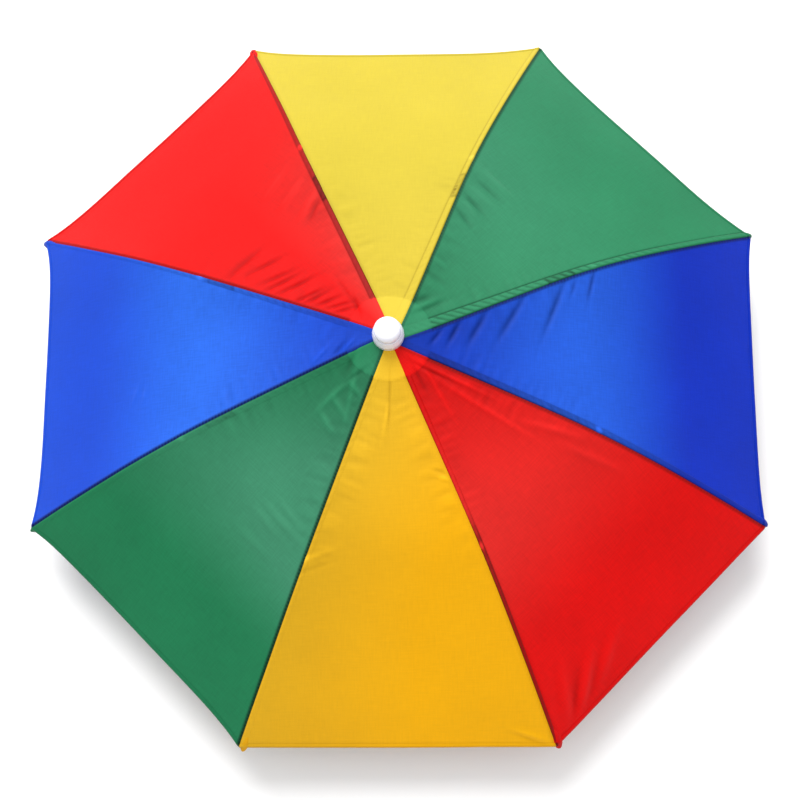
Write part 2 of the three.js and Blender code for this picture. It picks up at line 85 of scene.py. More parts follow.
# %% Shader sums
class Wire:
    """An output socket that can be used in sums."""

    def __init__(self, tree, socket=None):
        self.tree = tree
        self.socket = socket

    def node(self, kind, settings=(), values=(), output=0):
        made = self.tree.nodes.new(kind)
        for name, value in dict(settings).items():
            setattr(made, name, value)
        for place, value in dict(values).items():
            if isinstance(value, Wire):
                self.tree.links.new(value.socket, made.inputs[place])
            else:
                made.inputs[place].default_value = value
        return Wire(self.tree, made.outputs[output] if made.outputs else None)

    def math(self, operation, first, second=0.0):
        return self.node("ShaderNodeMath", {"operation": operation}, {0: first, 1: second})

    def __add__(self, other):
        return self.math("ADD", self, other)

    def __radd__(self, other):
        return self.math("ADD", other, self)

    def __sub__(self, other):
        return self.math("SUBTRACT", self, other)

    def __rsub__(self, other):
        return self.math("SUBTRACT", other, self)

    def __mul__(self, other):
        return self.math("MULTIPLY", self, other)

    def __rmul__(self, other):
        return self.math("MULTIPLY", other, self)

    def sine(self):
        return self.math("SINE", self)

    def part(self, axis):
        """One number of a vector: 0 is X, 1 is Y, 2 is Z."""
        return self.node("ShaderNodeSeparateXYZ", {}, {0: self}, output=axis)

    def rider(self, name, output=2):
        """A value that rides on the mesh's points; output 1 gives it as a vector."""
        return self.node("ShaderNodeAttribute", {"attribute_name": name}, output=output)

    def stretched(self, x, y, z):
        return self.node("ShaderNodeVectorMath", {"operation": "MULTIPLY"}, {0: self, 1: (x, y, z)})

    def grain(self, scale, detail=2.0):
        return self.node("ShaderNodeTexNoise", {}, {"Vector": self, "Scale": scale, "Detail": detail})

    def blend(self, first, second):
        """The colour that lies this far between two others."""
        settings = {"data_type": "RGBA", "clamp_factor": True}
        return self.node("ShaderNodeMix", settings, {0: self, 6: first, 7: second}, output=2)


def finish(name, paint):
    """A material whose Principled sockets are what paint returns for an empty sheet of nodes."""
    material = bpy.data.materials.new(name)
    material.use_nodes = True
    material.node_tree.nodes.clear()
    sheet = Wire(material.node_tree)
    values = paint(sheet)
    height = values.pop("height", None)
    if height is not None:
        bump = {"Height": height, "Distance": 1.0, "Strength": values.pop("relief", 1.0)}
        values["Normal"] = sheet.node("ShaderNodeBump", {}, bump)
    shader = sheet.node("ShaderNodeBsdfPrincipled", {}, values)
    sheet.node("ShaderNodeOutputMaterial", {}, {"Surface": shader})
    return material


# %% [markdown]
# ## Light
#
# Satin cloth shows its shape by where it catches a broad light. One large soft box hangs high behind the
# hat, so the far panels look pale and the near ones deep. The sky fills in the rest: white overhead and
# dimmer towards the horizon, so the cloth deepens where it turns down to the hem. An even sky would flatten
# the folds. The plain display transform keeps saturated dyes saturated.

# %% Light
KEY_PLACE = (-0.5, 1.95, 2.3)
KEY_SIZE = 2.2
KEY_POWER = 100
SKY_HIGH, SKY_LOW = 1.1, 0.5


def soft_box(name, place, size, power):
    lamp = bpy.data.lights.new(name, "AREA")
    lamp.shape = "DISK"
    lamp.size = size
    lamp.energy = power
    holder = bpy.data.objects.new(name, lamp)
    holder.location = place
    holder.rotation_euler = (-Vector(place)).to_track_quat("-Z", "Y").to_euler()
    scene.collection.objects.link(holder)


soft_box("key_light", KEY_PLACE, KEY_SIZE, KEY_POWER)
sky = bpy.data.worlds.new("sky")
sky.use_nodes = True
sky.node_tree.nodes.clear()
heavens = Wire(sky.node_tree)
up = heavens.node("ShaderNodeTexCoord").part(2)
strength = SKY_LOW + up.math("MAXIMUM", up) * (SKY_HIGH - SKY_LOW)
glow = heavens.node("ShaderNodeBackground", {}, {"Color": (1, 1, 1, 1), "Strength": strength})
heavens.node("ShaderNodeOutputWorld", {}, {"Surface": glow})
scene.world = sky
scene.view_settings.view_transform = "Standard"
scene.view_settings.look = "None"

# %% [markdown]
# ## Floor
#
# The floor is a wide pale sheet. It isn't part of the hat. It still gets a faint grain, because a
# perfectly even floor makes a shadow look cut out.

# %% Floor
FLOOR_HALF = 4.0


def floor_paint(sheet):
    place = sheet.node("ShaderNodeTexCoord", output=3)
    mottle = place.grain(3.0)
    return {
        "Base Color": mottle.blend((0.97, 0.97, 0.975, 1), (0.99, 0.99, 0.99, 1)),
        "Roughness": 0.8,
    }


floor_mesh = bpy.data.meshes.new("floor")
corners = [(x * FLOOR_HALF, y * FLOOR_HALF, 0) for x, y in ((-1, -1), (1, -1), (1, 1), (-1, 1))]
floor_mesh.from_pydata(corners, [], [(0, 1, 2, 3)])
floor_mesh.materials.append(finish("floor_paper", floor_paint))
floor = bpy.data.objects.new("floor", floor_mesh)
scene.collection.objects.link(floor)

# %% [markdown]
# ## Nylon
#
# The cloth is a dyed plain weave, thin and slightly shiny. Three things make it read as cloth: threads that
# cross at a right angle, slubs that run along single threads, and a change of tone where it is stitched or
# doubled. Painted light and shade add to that tone: on folds, creases and seam strips, and over each panel
# from crown to hem. Satin also looks washed out where it shines, so each dye has a second, paler colour for
# a painted sheen. Every piece carries its thread directions, tone, stitches with painted shadow lines, and
# painted sheen on its points. So the weave turns with the cut, and a stitched line stays where it is sewn.

# %% Nylon
THREAD = 0.55 * MM
THREAD_RELIEF = 0.035 * MM
STITCH_PITCH = 2.4 * MM
SLUB_LONG, SLUB_FINE = 90, 1000
CLOUD = 14.0
SLUB_SHARE, CLOUD_SHARE = 0.6, 0.4
STITCH_DEEP, STITCH_TEETH = 0.92, 0.08
TURN = 2 * math.pi
DYES = {
    "yellow": (0.83, 0.4, 0.001),
    "green": (0.01, 0.16, 0.063),
    "blue": (0.001, 0.022, 0.39),
    "red": (0.66, 0.001, 0.0005),
    "white": (0.7, 0.7, 0.69),
}
# Painted sheen: the paler colour each dye is blended towards where the cloth is painted as catching the
# light.
PAINTED_SHEEN_COLOURS = {
    "yellow": (0.47, 0.37, 0.03),
    "green": (0.038, 0.2, 0.108),
    "blue": (0.018, 0.11, 0.59),
    "red": (0.6, 0.02, 0.016),
    "white": (0.74, 0.74, 0.73),
}
# How much the dye varies from thread to thread. It shows least in the pale ones.
UNEVEN = {"yellow": 0.19, "green": 0.4, "blue": 0.5, "red": 0.42, "white": 0.15}
# The share of the dye at a tone of -1 and of 1, and what the pale one gains in every colour.
DARK, PALE = 0.1, 1.25
PALE_LIFT = 0.006


def shade(colour, strength, lift=0.0):
    return (*(min(1.0, strength * c + lift) for c in colour), 1.0)


def nylon_paint(dye):
    def paint(sheet):
        place = sheet.rider("threads", 1)
        tone, stitch_and_shadow, wash = (sheet.rider(name) for name in ("tone", "stitch_and_shadow", "wash"))

        # The dye, blended towards its painted sheen colour.
        def seen(strength, lift=0.0):
            return wash.blend(shade(DYES[dye], strength, lift), shade(PAINTED_SHEEN_COLOURS[dye], strength, lift))

        across, along = place.part(0), place.part(1)
        weave = (across * (TURN / THREAD)).sine() * (along * (TURN / THREAD)).sine()
        weft = place.stretched(SLUB_LONG, SLUB_FINE, 1).grain(1.0)
        warp = place.stretched(SLUB_FINE, SLUB_LONG, 1).grain(1.0)
        slubs = (weft + warp) * 0.5
        cloud = place.grain(CLOUD)
        mottle = slubs * SLUB_SHARE + cloud * CLOUD_SHARE
        plain = mottle.blend(seen(1 - UNEVEN[dye]), seen(1 + UNEVEN[dye]))
        # The tone paints light and shade onto the dye, as well as the cloth's own darker and paler places.
        shaded = (tone * -1.0).blend(plain, seen(DARK))
        lit = tone.blend(shaded, seen(PALE, PALE_LIFT))
        # Stitches and the painted shadow line beyond the seam darken towards the deep dye.
        teeth = STITCH_DEEP + (along * (TURN / STITCH_PITCH)).sine() * STITCH_TEETH
        return {
            "Base Color": (stitch_and_shadow * teeth).blend(lit, shade(DYES[dye], DARK)),
            "Roughness": 0.5 + slubs * 0.12,
            "Sheen Weight": 0.015,
            "Sheen Roughness": 0.35,
            "Specular IOR Level": 0.1,
            "height": weave * THREAD_RELIEF + slubs * (3 * THREAD_RELIEF),
            "relief": 0.6,
        }

    return paint


NYLON = {dye: finish(f"{dye}_nylon", nylon_paint(dye)) for dye in DYES}
print("nylon:", sorted(NYLON))

# %% [markdown]
# ## Shapes as grids of points
#
# Blender can loft and bend with modifiers, but every piece of this hat follows a formula: a panel hangs
# between two ribs, a rod follows a rib, a cap is turned. So each shape is worked out as an array of points
# and handed over as a finished mesh. A shape here is its points, its faces and the values that ride on
# each point.

# %% Shapes as grids of points
SLOTS = {dye: f"{dye}_cloth" for dye in DYES}
SLOTS["white"] = "lining_cloth"


def grid_shape(points, wrap=False, flip=False, closed=False):
    """Four-sided faces between a grid's neighbours. wrap makes a ring of its columns, closed of its rows."""
    rows, columns = points.shape[:2]
    i = np.arange(rows if closed else rows - 1)[:, None]
    j = np.arange(columns if wrap else columns - 1)[None]
    beside = (j + 1) % columns
    here, below = i * columns, (i + 1) % rows * columns
    corners = np.stack([here + j, here + beside, below + beside, below + j], -1).reshape(-1, 4)
    return points.reshape(-1, 3), (corners[:, ::-1] if flip else corners).tolist()


def capped(points):
    """A body through rings of points, closed at its first and last ring."""
    rows, columns = points.shape[:2]
    flat, faces = grid_shape(points, wrap=True)
    last = (rows - 1) * columns
    return flat, faces + [list(range(columns))[::-1], list(range(last, last + columns))]


def piece(name, shapes, material, thick=0.0, **riders):
    """One Blender object from several shapes, in its place, with values that ride on its points."""
    points, faces, count = [], [], 0
    for flat, corners in shapes:
        points.append(flat)
        faces += [[corner + count for corner in face] for face in corners]
        count += len(flat)
    mesh = bpy.data.meshes.new(name)
    mesh.from_pydata(np.concatenate(points).tolist(), [], faces)
    mesh.shade_smooth()
    for rider, values in riders.items():
        kind, field = ("FLOAT", "value") if values.size == count else ("FLOAT_VECTOR", "vector")
        mesh.attributes.new(rider, kind, "POINT").data.foreach_set(field, values.ravel())
    mesh.materials.append(material)
    made = bpy.data.objects.new(name, mesh)
    scene.collection.objects.link(made)
    if thick:
        shell = made.modifiers.new("cloth", "SOLIDIFY")
        shell.thickness = thick
        shell.offset = -1
    return made


def stands_for(made, node, slot):
    """Put a piece in a node's place, on the hat's one body."""
    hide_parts(node)
    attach(made, "root")


def smooth(x, low, high):
    """0 below low, 1 above high, and an even S between."""
    t = np.clip((np.asarray(x) - low) / (high - low), 0, 1)
    return t * t * (3 - 2 * t)


# %% [markdown]
# ## Where the cloth runs
#
# Seen from the side a rib is nearly flat for its inner half and then turns down, because it bends at its
# joint. A panel hangs between two ribs and sags a little. Two tables give the rib's outline and the sag, as
# shares of the named sizes, and a cubic through the rows keeps the curve smooth. No seam is sewn dead
# straight: a third table says how far each one wanders clockwise of its rib, and how it was stitched.

# %% Where the cloth runs
RIBS = 8
STEP = TURN / RIBS
TIP_HEIGHT = 42 * MM
CROWN_RISE = 110 * MM
CAP_LOW, CAP_HIGH = (Vector(corner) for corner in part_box("top_cap"))
CROWN = np.array([(CAP_LOW.x + CAP_HIGH.x) / 2, (CAP_LOW.y + CAP_HIGH.y) / 2])
TIP_REACH = 0.6 * MM
HEM_INSET = 5.7 * MM
HEM_SQUARENESS = 6.5
SAG = 6 * MM
RIB_PROFILE = {
    "out": [0, 0.12, 0.25, 0.4, 0.5, 0.6, 0.7, 0.8, 0.9, 1],
    "up": [1, 0.94, 0.882, 0.81, 0.745, 0.645, 0.515, 0.358, 0.188, 0],
}
PANEL_SAG = {"out": [0, 0.2, 0.4, 0.6, 0.8, 1], "drop": [0, 0.2, 0.6, 1, 0.95, 0.3]}
# How far each panel's hem bows in, as shares of HEM_INSET. Two slack ones run straight from tip to tip.
HEM_BOWS = [1.05, 0.98, 0.56, 0.0, -0.03, 0.66, 1.11, 0.97]
# crown, middle and tip are millimetres, the others shares. hug: how far the stitches inside the strip follow
# the seam and not the rib. line: how dark these stitches are. edge: how dark the painted shadow line is that
# the strip casts beyond the seam. pucker: how deep the strip is gathered, which also sets its painted light
# and shade. fill: its own tone, minus for dark, for its doubled cloth and partly painted shade. begins: how
# far
# out fill and line start. joint: how dark it is over the rib's joint. dots: how dark the loose thread ends
# are beside it. tie: how far out the cloth is tied to the rib.
SEAM_COLUMNS = "rib crown middle tip hug line edge pucker fill begins joint dots tie"
SEAM_ROWS = [
    (1, 3.8, 0.4, 2.8, 0.45, 0.35, 0.85, 0.15, 0.05, 0.0, 0.45, 1.0, 0.53),
    (2, 3.5, 1.0, 2.1, 0.0, 0.8, 0.9, 0.8, 0.05, 0.0, 0.6, 0.3, 0.53),
    (3, 1.6, 1.5, 2.5, 0.3, 0.15, 0.7, 0.12, -0.4, 0.0, 0.12, 0.0, 0.528),
    (4, -0.5, -1.3, 0.1, 0.2, 0.9, 0.1, 0.1, -0.65, 0.5, 0.1, 0.0, 0.517),
    (5, -0.1, -0.6, 2.5, 0.0, 0.0, 0.95, 0.1, 0.0, 0.0, 0.06, 0.0, 0.54),
    (6, 2.2, 1.0, 1.8, 0.3, 0.0, 0.95, 0.1, 0.0, 0.0, 0.25, 0.5, 0.545),
    (7, 2.2, -0.9, 1.1, 0.6, 0.0, 0.6, 0.15, -0.25, 0.0, 0.35, 0.0, 0.5),
    (8, 3.2, -0.4, 0.1, 1.0, 0.3, 0.1, 0.06, -0.45, 0.0, 0.36, 0.0, 0.578),
]
# A seam keeps its crown place to the second of these steps and has its middle one at the third. By the fourth
# it has made this share of its swing to the tip.
SEAM_STEPS = [0, 0.1, 0.5, 0.75, 1]
SWING_SHARE = 0.3


def rows_of(columns, table):
    """A table's rows by the names of its columns."""
    return [dict(zip(columns.split(), row)) for row in table]


SEAMS = rows_of(SEAM_COLUMNS, SEAM_ROWS)


def from_table(table, column, out):
    """A smooth curve through a table's rows; its first column is the way along."""
    first = next(iter(table))
    xs, ys = np.array(table[first], float), np.array(table[column], float)
    last = len(xs) - 1
    before, after = np.maximum(np.arange(last + 1) - 1, 0), np.minimum(np.arange(last + 1) + 1, last)
    slopes = (ys[after] - ys[before]) / (xs[after] - xs[before])
    out = np.asarray(out, float)
    i = np.clip(np.searchsorted(xs, out) - 1, 0, last - 1)
    span = xs[i + 1] - xs[i]
    t = (out - xs[i]) / span
    rise = 3 * t * t - 2 * t**3
    bend = slopes[i] * (1 - t) - slopes[i + 1] * t
    return ys[i] * (1 - rise) + ys[i + 1] * rise + bend * span * t * (1 - t)


def rib_angle(rib):
    return TURN / 4 - STEP * (rib - 0.5)


def tip_plan(rib):
    return TIP_RADIUS * np.array([math.cos(rib_angle(rib)), math.sin(rib_angle(rib))])


def rib_way(rib):
    way = tip_plan(rib) - CROWN
    return way / np.hypot(*way)


def rib_plan(rib, out):
    return CROWN + (tip_plan(rib) - CROWN) * np.asarray(out, float)[..., None]


def seam_shift(rib, out):
    row = SEAMS[(rib - 1) % RIBS]
    crown, middle, tip = row["crown"], row["middle"], row["tip"]
    swung = middle + SWING_SHARE * (tip - middle)
    return MM * from_table({"out": SEAM_STEPS, "by": [crown, crown, middle, swung, tip]}, "by", out)


def seam_plan(rib, out):
    clockwise = np.array([math.sin(rib_angle(rib)), -math.cos(rib_angle(rib))])
    return rib_plan(rib, out) + clockwise * seam_shift(rib, out)[..., None]


def height_at(out):
    return TIP_HEIGHT + CROWN_RISE * from_table(RIB_PROFILE, "up", out)


def fall_at(out):
    nudge = 0.001
    return (height_at(out - nudge) - height_at(out + nudge)) / (2 * nudge * TIP_RADIUS)


def outward(direction, out):
    """The unit vector out of the cloth where it falls away in a direction."""
    direction = direction / np.linalg.norm(direction, axis=-1, keepdims=True)
    normal = np.concatenate([direction * fall_at(out)[..., None], np.ones_like(out)[..., None]], -1)
    return normal / np.linalg.norm(normal, axis=-1, keepdims=True)


def under_rib(rib, out, depth):
    """A point at a depth below the cloth over a rib."""
    out = np.asarray(out, float)
    way = np.broadcast_to(rib_way(rib), out.shape + (2,))
    top = np.concatenate([rib_plan(rib, out), height_at(out)[..., None]], -1)
    return top - outward(way, out) * np.asarray(depth, float)[..., None]


print("crown at", CROWN.round(4), "cloth from", round(float(height_at(1)), 3), "to", float(height_at(0)))

# %% [markdown]
# ## Folds and wrinkles
#
# Nylon on a frame is never quite even. Short creases fan out of the seams where the stitches pull, larger
# ones run into the hem near a tip. A simulation would give folds of its own choosing, so they are placed
# one by one instead: each row is a soft ridge or groove with a middle, a direction and a size.

# %% Folds and wrinkles
# across runs from -1 at the anticlockwise seam to 1 at the clockwise one. long and wide are half sizes in
# millimetres, and high counts in WRINKLE_RISE. turn is the direction in degrees from the panel's middle line.
WRINKLE_COLUMNS = "panel out across long wide turn high"
WRINKLE_RISE = 3.0 * MM
WRINKLES = [
    (8, 0.39, -0.45, 12, 1.8, 109, -0.32),
    (8, 0.34, -0.53, 11, 1.8, 115, -0.32),
    (8, 0.32, -0.62, 12, 1.6, 109, -0.36),
    (8, 0.285, -0.53, 13, 1.6, 111, -0.36),
    (8, 0.24, -0.66, 10, 1.5, 112, -0.36),
    (8, 0.22, -0.56, 10, 1.5, 107, -0.36),
    (8, 0.19, -0.52, 9, 1.4, 114, -0.32),
    (8, 0.16, -0.47, 8, 1.3, 122, -0.3),
    (8, 0.14, -0.54, 7, 1.2, 120, -0.28),
    (8, 0.44, -0.57, 16, 2.5, 92, -0.3),
    (8, 0.12, -0.1, 9, 1.5, 30, -0.24),
    (8, 0.17, 0.1, 12, 1.6, 12, -0.16),
    (8, 0.55, 0.5, 12, 2, 77, 0.3),
    (8, 0.49, 0.6, 12, 2.2, 77, 0.36),
    (8, 0.43, 0.68, 10, 2.2, 71, 0.32),
    (8, 0.41, 0.73, 8, 2, 68, -0.36),
    (2, 0.52, -0.6, 14, 2.2, 88, 0.42),
    (2, 0.49, -0.62, 12, 2, 88, -0.32),
    (2, 0.46, -0.6, 12, 2.2, 88, 0.42),
    (2, 0.43, -0.68, 9, 2, 93, -0.36),
    (2, 0.41, -0.66, 8, 2.2, 98, 0.36),
    (2, 0.38, -0.72, 8, 2, 100, -0.32),
    (2, 0.13, -0.62, 8, 1.8, 36, -0.34),
    (2, 0.125, -0.28, 9, 2.0, 24, 0.3),
    (2, 0.14, 0.0, 12, 2.0, 20, -0.26),
    (2, 0.2, -0.76, 9, 1.7, 78, -0.26),
    (2, 0.24, -0.74, 8, 1.7, 84, 0.22),
    (3, 0.52, -0.81, 9, 1.6, 103, -0.5),
    (3, 0.47, -0.81, 5, 1.4, 107, -0.3),
    (3, 0.42, -0.6, 17, 2.2, 114, -0.5),
    (3, 0.31, -0.61, 15, 2.6, 124, -0.5),
    (3, 0.22, -0.49, 11, 2.4, 120, -0.5),
    (3, 0.16, -0.45, 8, 2, 116, -0.5),
    (3, 0.116, -0.4, 6, 1.8, 125, -0.4),
    (6, 0.54, -0.37, 14, 2.6, -84, 0.24),
    (6, 0.515, -0.58, 19, 2.6, -87, 0.28),
    (6, 0.6, -0.385, 13, 2.6, -90, 0.2),
    (6, 0.487, -0.58, 11, 2.2, -82, 0.22),
    (6, 0.11, 0.5, 7, 1.6, -30, -0.3),
    (6, 0.13, -0.1, 10, 1.6, 14, -0.26),
    (6, 0.15, -0.47, 6, 1.8, -80, 0.32),
    (6, 0.21, -0.33, 7, 2, -76, 0.32),
    (6, 0.26, -0.3, 7, 2, -74, 0.28),
    (6, 0.19, 0.01, 17, 2, 3, 0.28),
    (6, 0.16, -0.385, 20, 2, -23, 0.28),
    (4, 0.94, 0.46, 22, 3.4, 63, 0.55),
    (4, 0.955, 0.56, 18, 3.6, 60, -0.45),
    (4, 0.94, 0.64, 20, 3.2, 50, 0.6),
    (4, 0.95, 0.74, 13, 3.2, 38, -0.4),
    (4, 0.92, 0.8, 16, 2.8, 22, 0.5),
    (4, 0.445, -0.755, 15, 2.5, -16, 0.32),
    (4, 0.565, -0.71, 17, 2.5, -10, 0.32),
    (4, 0.175, 0.06, 19, 1.6, 15, 0.24),
    (4, 0.12, 0.3, 10, 1.6, 12, -0.26),
    (4, 0.13, -0.35, 11, 1.6, -14, -0.24),
    (4, 0.19, -0.64, 21, 1.6, -6, 0.24),
    (4, 0.28, -0.41, 34, 2, -5, 0.24),
    (5, 0.973, -0.885, 11, 1.5, -68, 0.45),
    (5, 0.982, -0.87, 9, 1.4, -68, -0.4),
    (5, 0.332, -0.88, 5, 1.4, -75, -0.18),
    (5, 0.35, -0.9, 5, 1.4, -75, 0.24),
    (5, 0.53, 0.88, 10, 1.6, -111, 0.13),
    (5, 0.56, 0.87, 10, 1.6, -111, -0.1),
    (5, 0.15, 0.02, 17, 1.1, 3, -0.26),
    (5, 0.19, 0.12, 13, 1.3, 9, 0.16),
    (7, 0.126, -0.53, 6, 1.6, 134, -0.32),
    (7, 0.175, -0.54, 7, 1.8, 138, 0.32),
    (7, 0.1, -0.45, 5, 1.4, 134, 0.28),
    (7, 0.678, -0.31, 6, 1.4, 113, 0.22),
    (7, 0.651, -0.34, 5, 1.4, 105, 0.22),
]


def wrinkle_height(panel, out, across):
    half = TIP_RADIUS * out * math.sin(STEP / 2)
    height = np.zeros_like(out)
    for row in rows_of(WRINKLE_COLUMNS, WRINKLES):
        if row["panel"] != panel:
            continue
        along = (out - row["out"]) * TIP_RADIUS * math.cos(STEP / 2)
        aside = (across - row["across"]) * half
        turn = math.radians(row["turn"])
        u = (along * math.cos(turn) + aside * math.sin(turn)) / (row["long"] * MM)
        v = (aside * math.cos(turn) - along * math.sin(turn)) / (row["wide"] * MM)
        height += WRINKLE_RISE * row["high"] * np.exp(-u * u - v * v)
    return height


deepest = max(abs(row[-1]) for row in WRINKLES) * WRINKLE_RISE / MM
print("wrinkles:", len(WRINKLES), "up to", round(deepest, 2), "mm")

# %% [markdown]
# ## Seams and hems
#
# Two panels are sewn face to face, and their allowances are folded to the anticlockwise side. From outside
# that shows as a narrow raised strip beside each seam, puckered by the thread, with a painted shadow line
# where the next panel comes out from under it. The stitches inside it follow the rib, so the strip is wide
# where the seam wanders off. The hem is rolled: a thin raised edge. All of it is relief on the panel, a
# function of the distance to the seam or to the hem, so it never comes loose from the cloth. The tone goes
# with it: the doubled strip is darker on some seams, partly painted shade; the puckers and creases are
# painted paler on their ridges and darker in their troughs; the fold at the seam and the hem's line and roll
# get painted shade.

# %% Seams and hems
STRIP_RISE, STRIP_LEAST = 0.4 * MM, 0.3
SEAM_DEPTH = 0.7 * MM
# A stitched edge fades from a little inside its line to a little outside.
EDGE_INSIDE, EDGE_OUTSIDE = 0.4 * MM, 0.3 * MM
FOLD_WIDE = 0.9 * MM
LINE_HALF, LINE_DEPTH = 0.6 * MM, 0.35 * MM
# Towards the hem the stitches show less and the puckers go shallow, each over a stretch of the way out.
LINE_FADE, LINE_FADES = 0.4, (0.6, 0.9)
PUCKER_LEFT, PUCKER_FADES = 0.25, (0.55, 0.8)
PUCKER_PITCH = 6.2 * MM
PUCKER_RISE = 0.42 * MM
PUCKER_SLANT, PUCKER_STRAY = 0.9, 2
PUCKER_INSIDE = 1.2 * MM
# A seam's fill and line fade in from a little before the place where they begin.
STARTS = (-0.08, 0.02)
SHADOW_FROM, SHADOW_TO = 1.2 * MM, 3.3 * MM
HEM_WIDE = 2.4 * MM
HEM_RISE, HEM_LINE, HEM_ROLL = 0.3 * MM, 0.2 * MM, 0.9 * MM
# The hem band is a little darker, and the line beside it and the rolled edge get painted shade.
HEM_TONE, HEM_LINE_SHADE, HEM_ROLL_SHADE = -0.12, -0.2, -0.3
PATCH_RADIUS = 28.5 * MM
PATCH_OFFSET = np.array([0.0, 1.8]) * MM
PATCH_RISE = 0.25 * MM
PATCH_TONES = {"yellow": 0.6, "green": 0.42, "red": 0.4, "blue": -0.08}
# Three things change from the crown over the middle to the hem, and all three are painted light: the tone,
# which paints light and shade onto the panel; how far a painted sheen washes out the dye; and how much more
# it does so towards the clockwise seam.
PAINTED_LIGHT_STEPS = [0, 0.15, 0.5, 0.78, 1]
PAINTED_LIGHT_COLUMNS = "panel tone wash slant"
PAINTED_LIGHT_ROWS = [
    (1, (0.0, 0.0, 0.0), (0.95, 1.0, 1.0), (0.0, 0.0, 0.0)),
    (2, (-0.12, 0.05, 0.0), (0.4, 0.6, 0.3), (0.0, -0.2, -0.15)),
    (3, (-0.2, 0.0, 0.05), (0.2, 0.7, 0.0), (0.0, 0.0, 0.0)),
    (4, (-0.33, 0.0, 0.0), (0.1, 0.7, 0.0), (0.0, 0.2, 0.0)),
    (5, (-0.1, -0.12, 0.0), (0.45, 0.15, 0.05), (0.1, 0.25, 0.3)),
    (6, (-0.3, 0.0, 0.0), (0.3, 1.0, 0.0), (-0.2, -0.4, 0.0)),
    (7, (-0.08, 0.0, 0.2), (0.35, 0.96, 0.36), (0.0, 0.0, 0.0)),
    (8, (-0.17, -0.17, -0.17), (0.0, 0.0, 0.0), (1.3, 0.8, 0.0)),
]
PAINTED_LIGHT = rows_of(PAINTED_LIGHT_COLUMNS, PAINTED_LIGHT_ROWS)
JOINT_OUT, JOINT_HALF, JOINT_SOFT = 0.442, 0.034, 0.004
# The ties and the thread ends lie at these shares of the strip's width.
TIE_INSIDE, DOTS_INSIDE = 0.45, 0.7
TIE_RADIUS, TIE_RISE = 1.8 * MM, 0.3 * MM
# The creases are painted paler on their ridges and darker in their troughs.
CREASE_SHADING = 0.28
# The puckers are painted paler on their ridges and darker in their troughs, and the fold at the seam gets
# painted shade.
PUCKER_SHADING, JOINT_TONE, SEAM_FOLD_SHADE, TIE_TONE = 0.65, -0.6, -0.5, 1.2
DOTS_OUT, DOTS_HALF, DOTS_PITCH, DOTS_WIDE = 0.428, 0.02, 3.0 * MM, 0.8 * MM
GATHER_TURN, GATHER_REACH = 24, 26 * MM
GATHER_PITCH, GATHER_LONG, GATHER_RISE = 4.6 * MM, 26 * MM, 0.42 * MM
GATHER_STARTS, GATHER_ENDS = (30 * MM, 50 * MM), (110 * MM, 190 * MM)
STITCH_LINE = {"out": [0, 0.5, 0.85, 1], "beside": [3.8, 3.4, 2.6, 1.9]}


def fading(x, low, high):
    return 1 - smooth(x, low, high)


def at_least(least, share):
    """A share between 0 and 1, lifted so that some is always left."""
    return least + (1 - least) * share


def unevenness(points, size, seed):
    """Soft random values between -1 and 1 for an array of points; size is the size of a lump."""
    flat = (points.reshape(-1, 3) / size + seed).tolist()
    return np.array([noise.noise(Vector(p)) for p in flat]).reshape(points.shape[:-1])


def strip_wide(rib, out):
    """From the seam to the stitches inside it."""
    wander = seam_shift(rib, out) * (1 - SEAMS[(rib - 1) % RIBS]["hug"])
    return np.maximum(wander + MM * from_table(STITCH_LINE, "beside", out), 1.5 * MM)


def gathers(panel, along, aside, from_left, from_right):
    """Fine parallel creases that the seam's thread pulls into the cloth on either side of it."""
    height = np.zeros_like(along)
    for side, inside, turn in ((0, from_left, GATHER_TURN), (1, from_right, -GATHER_TURN)):
        leaning = np.radians(turn)
        across_crease = along * math.cos(leaning) - aside * math.sin(leaning)
        along_crease = along * math.sin(leaning) + aside * math.cos(leaning)
        place = np.stack([across_crease / GATHER_PITCH, along_crease / GATHER_LONG, np.zeros_like(along)], -1)
        near = smooth(inside, 2 * MM, 6 * MM) * fading(inside, GATHER_REACH / 3, GATHER_REACH)
        height += unevenness(place, 1.0, 7 * panel + side) * near
    return GATHER_RISE * height * smooth(along, *GATHER_STARTS) * fading(along, *GATHER_ENDS)


def bell(x, middle, half):
    return np.exp(-(((x - middle) / half) ** 2))


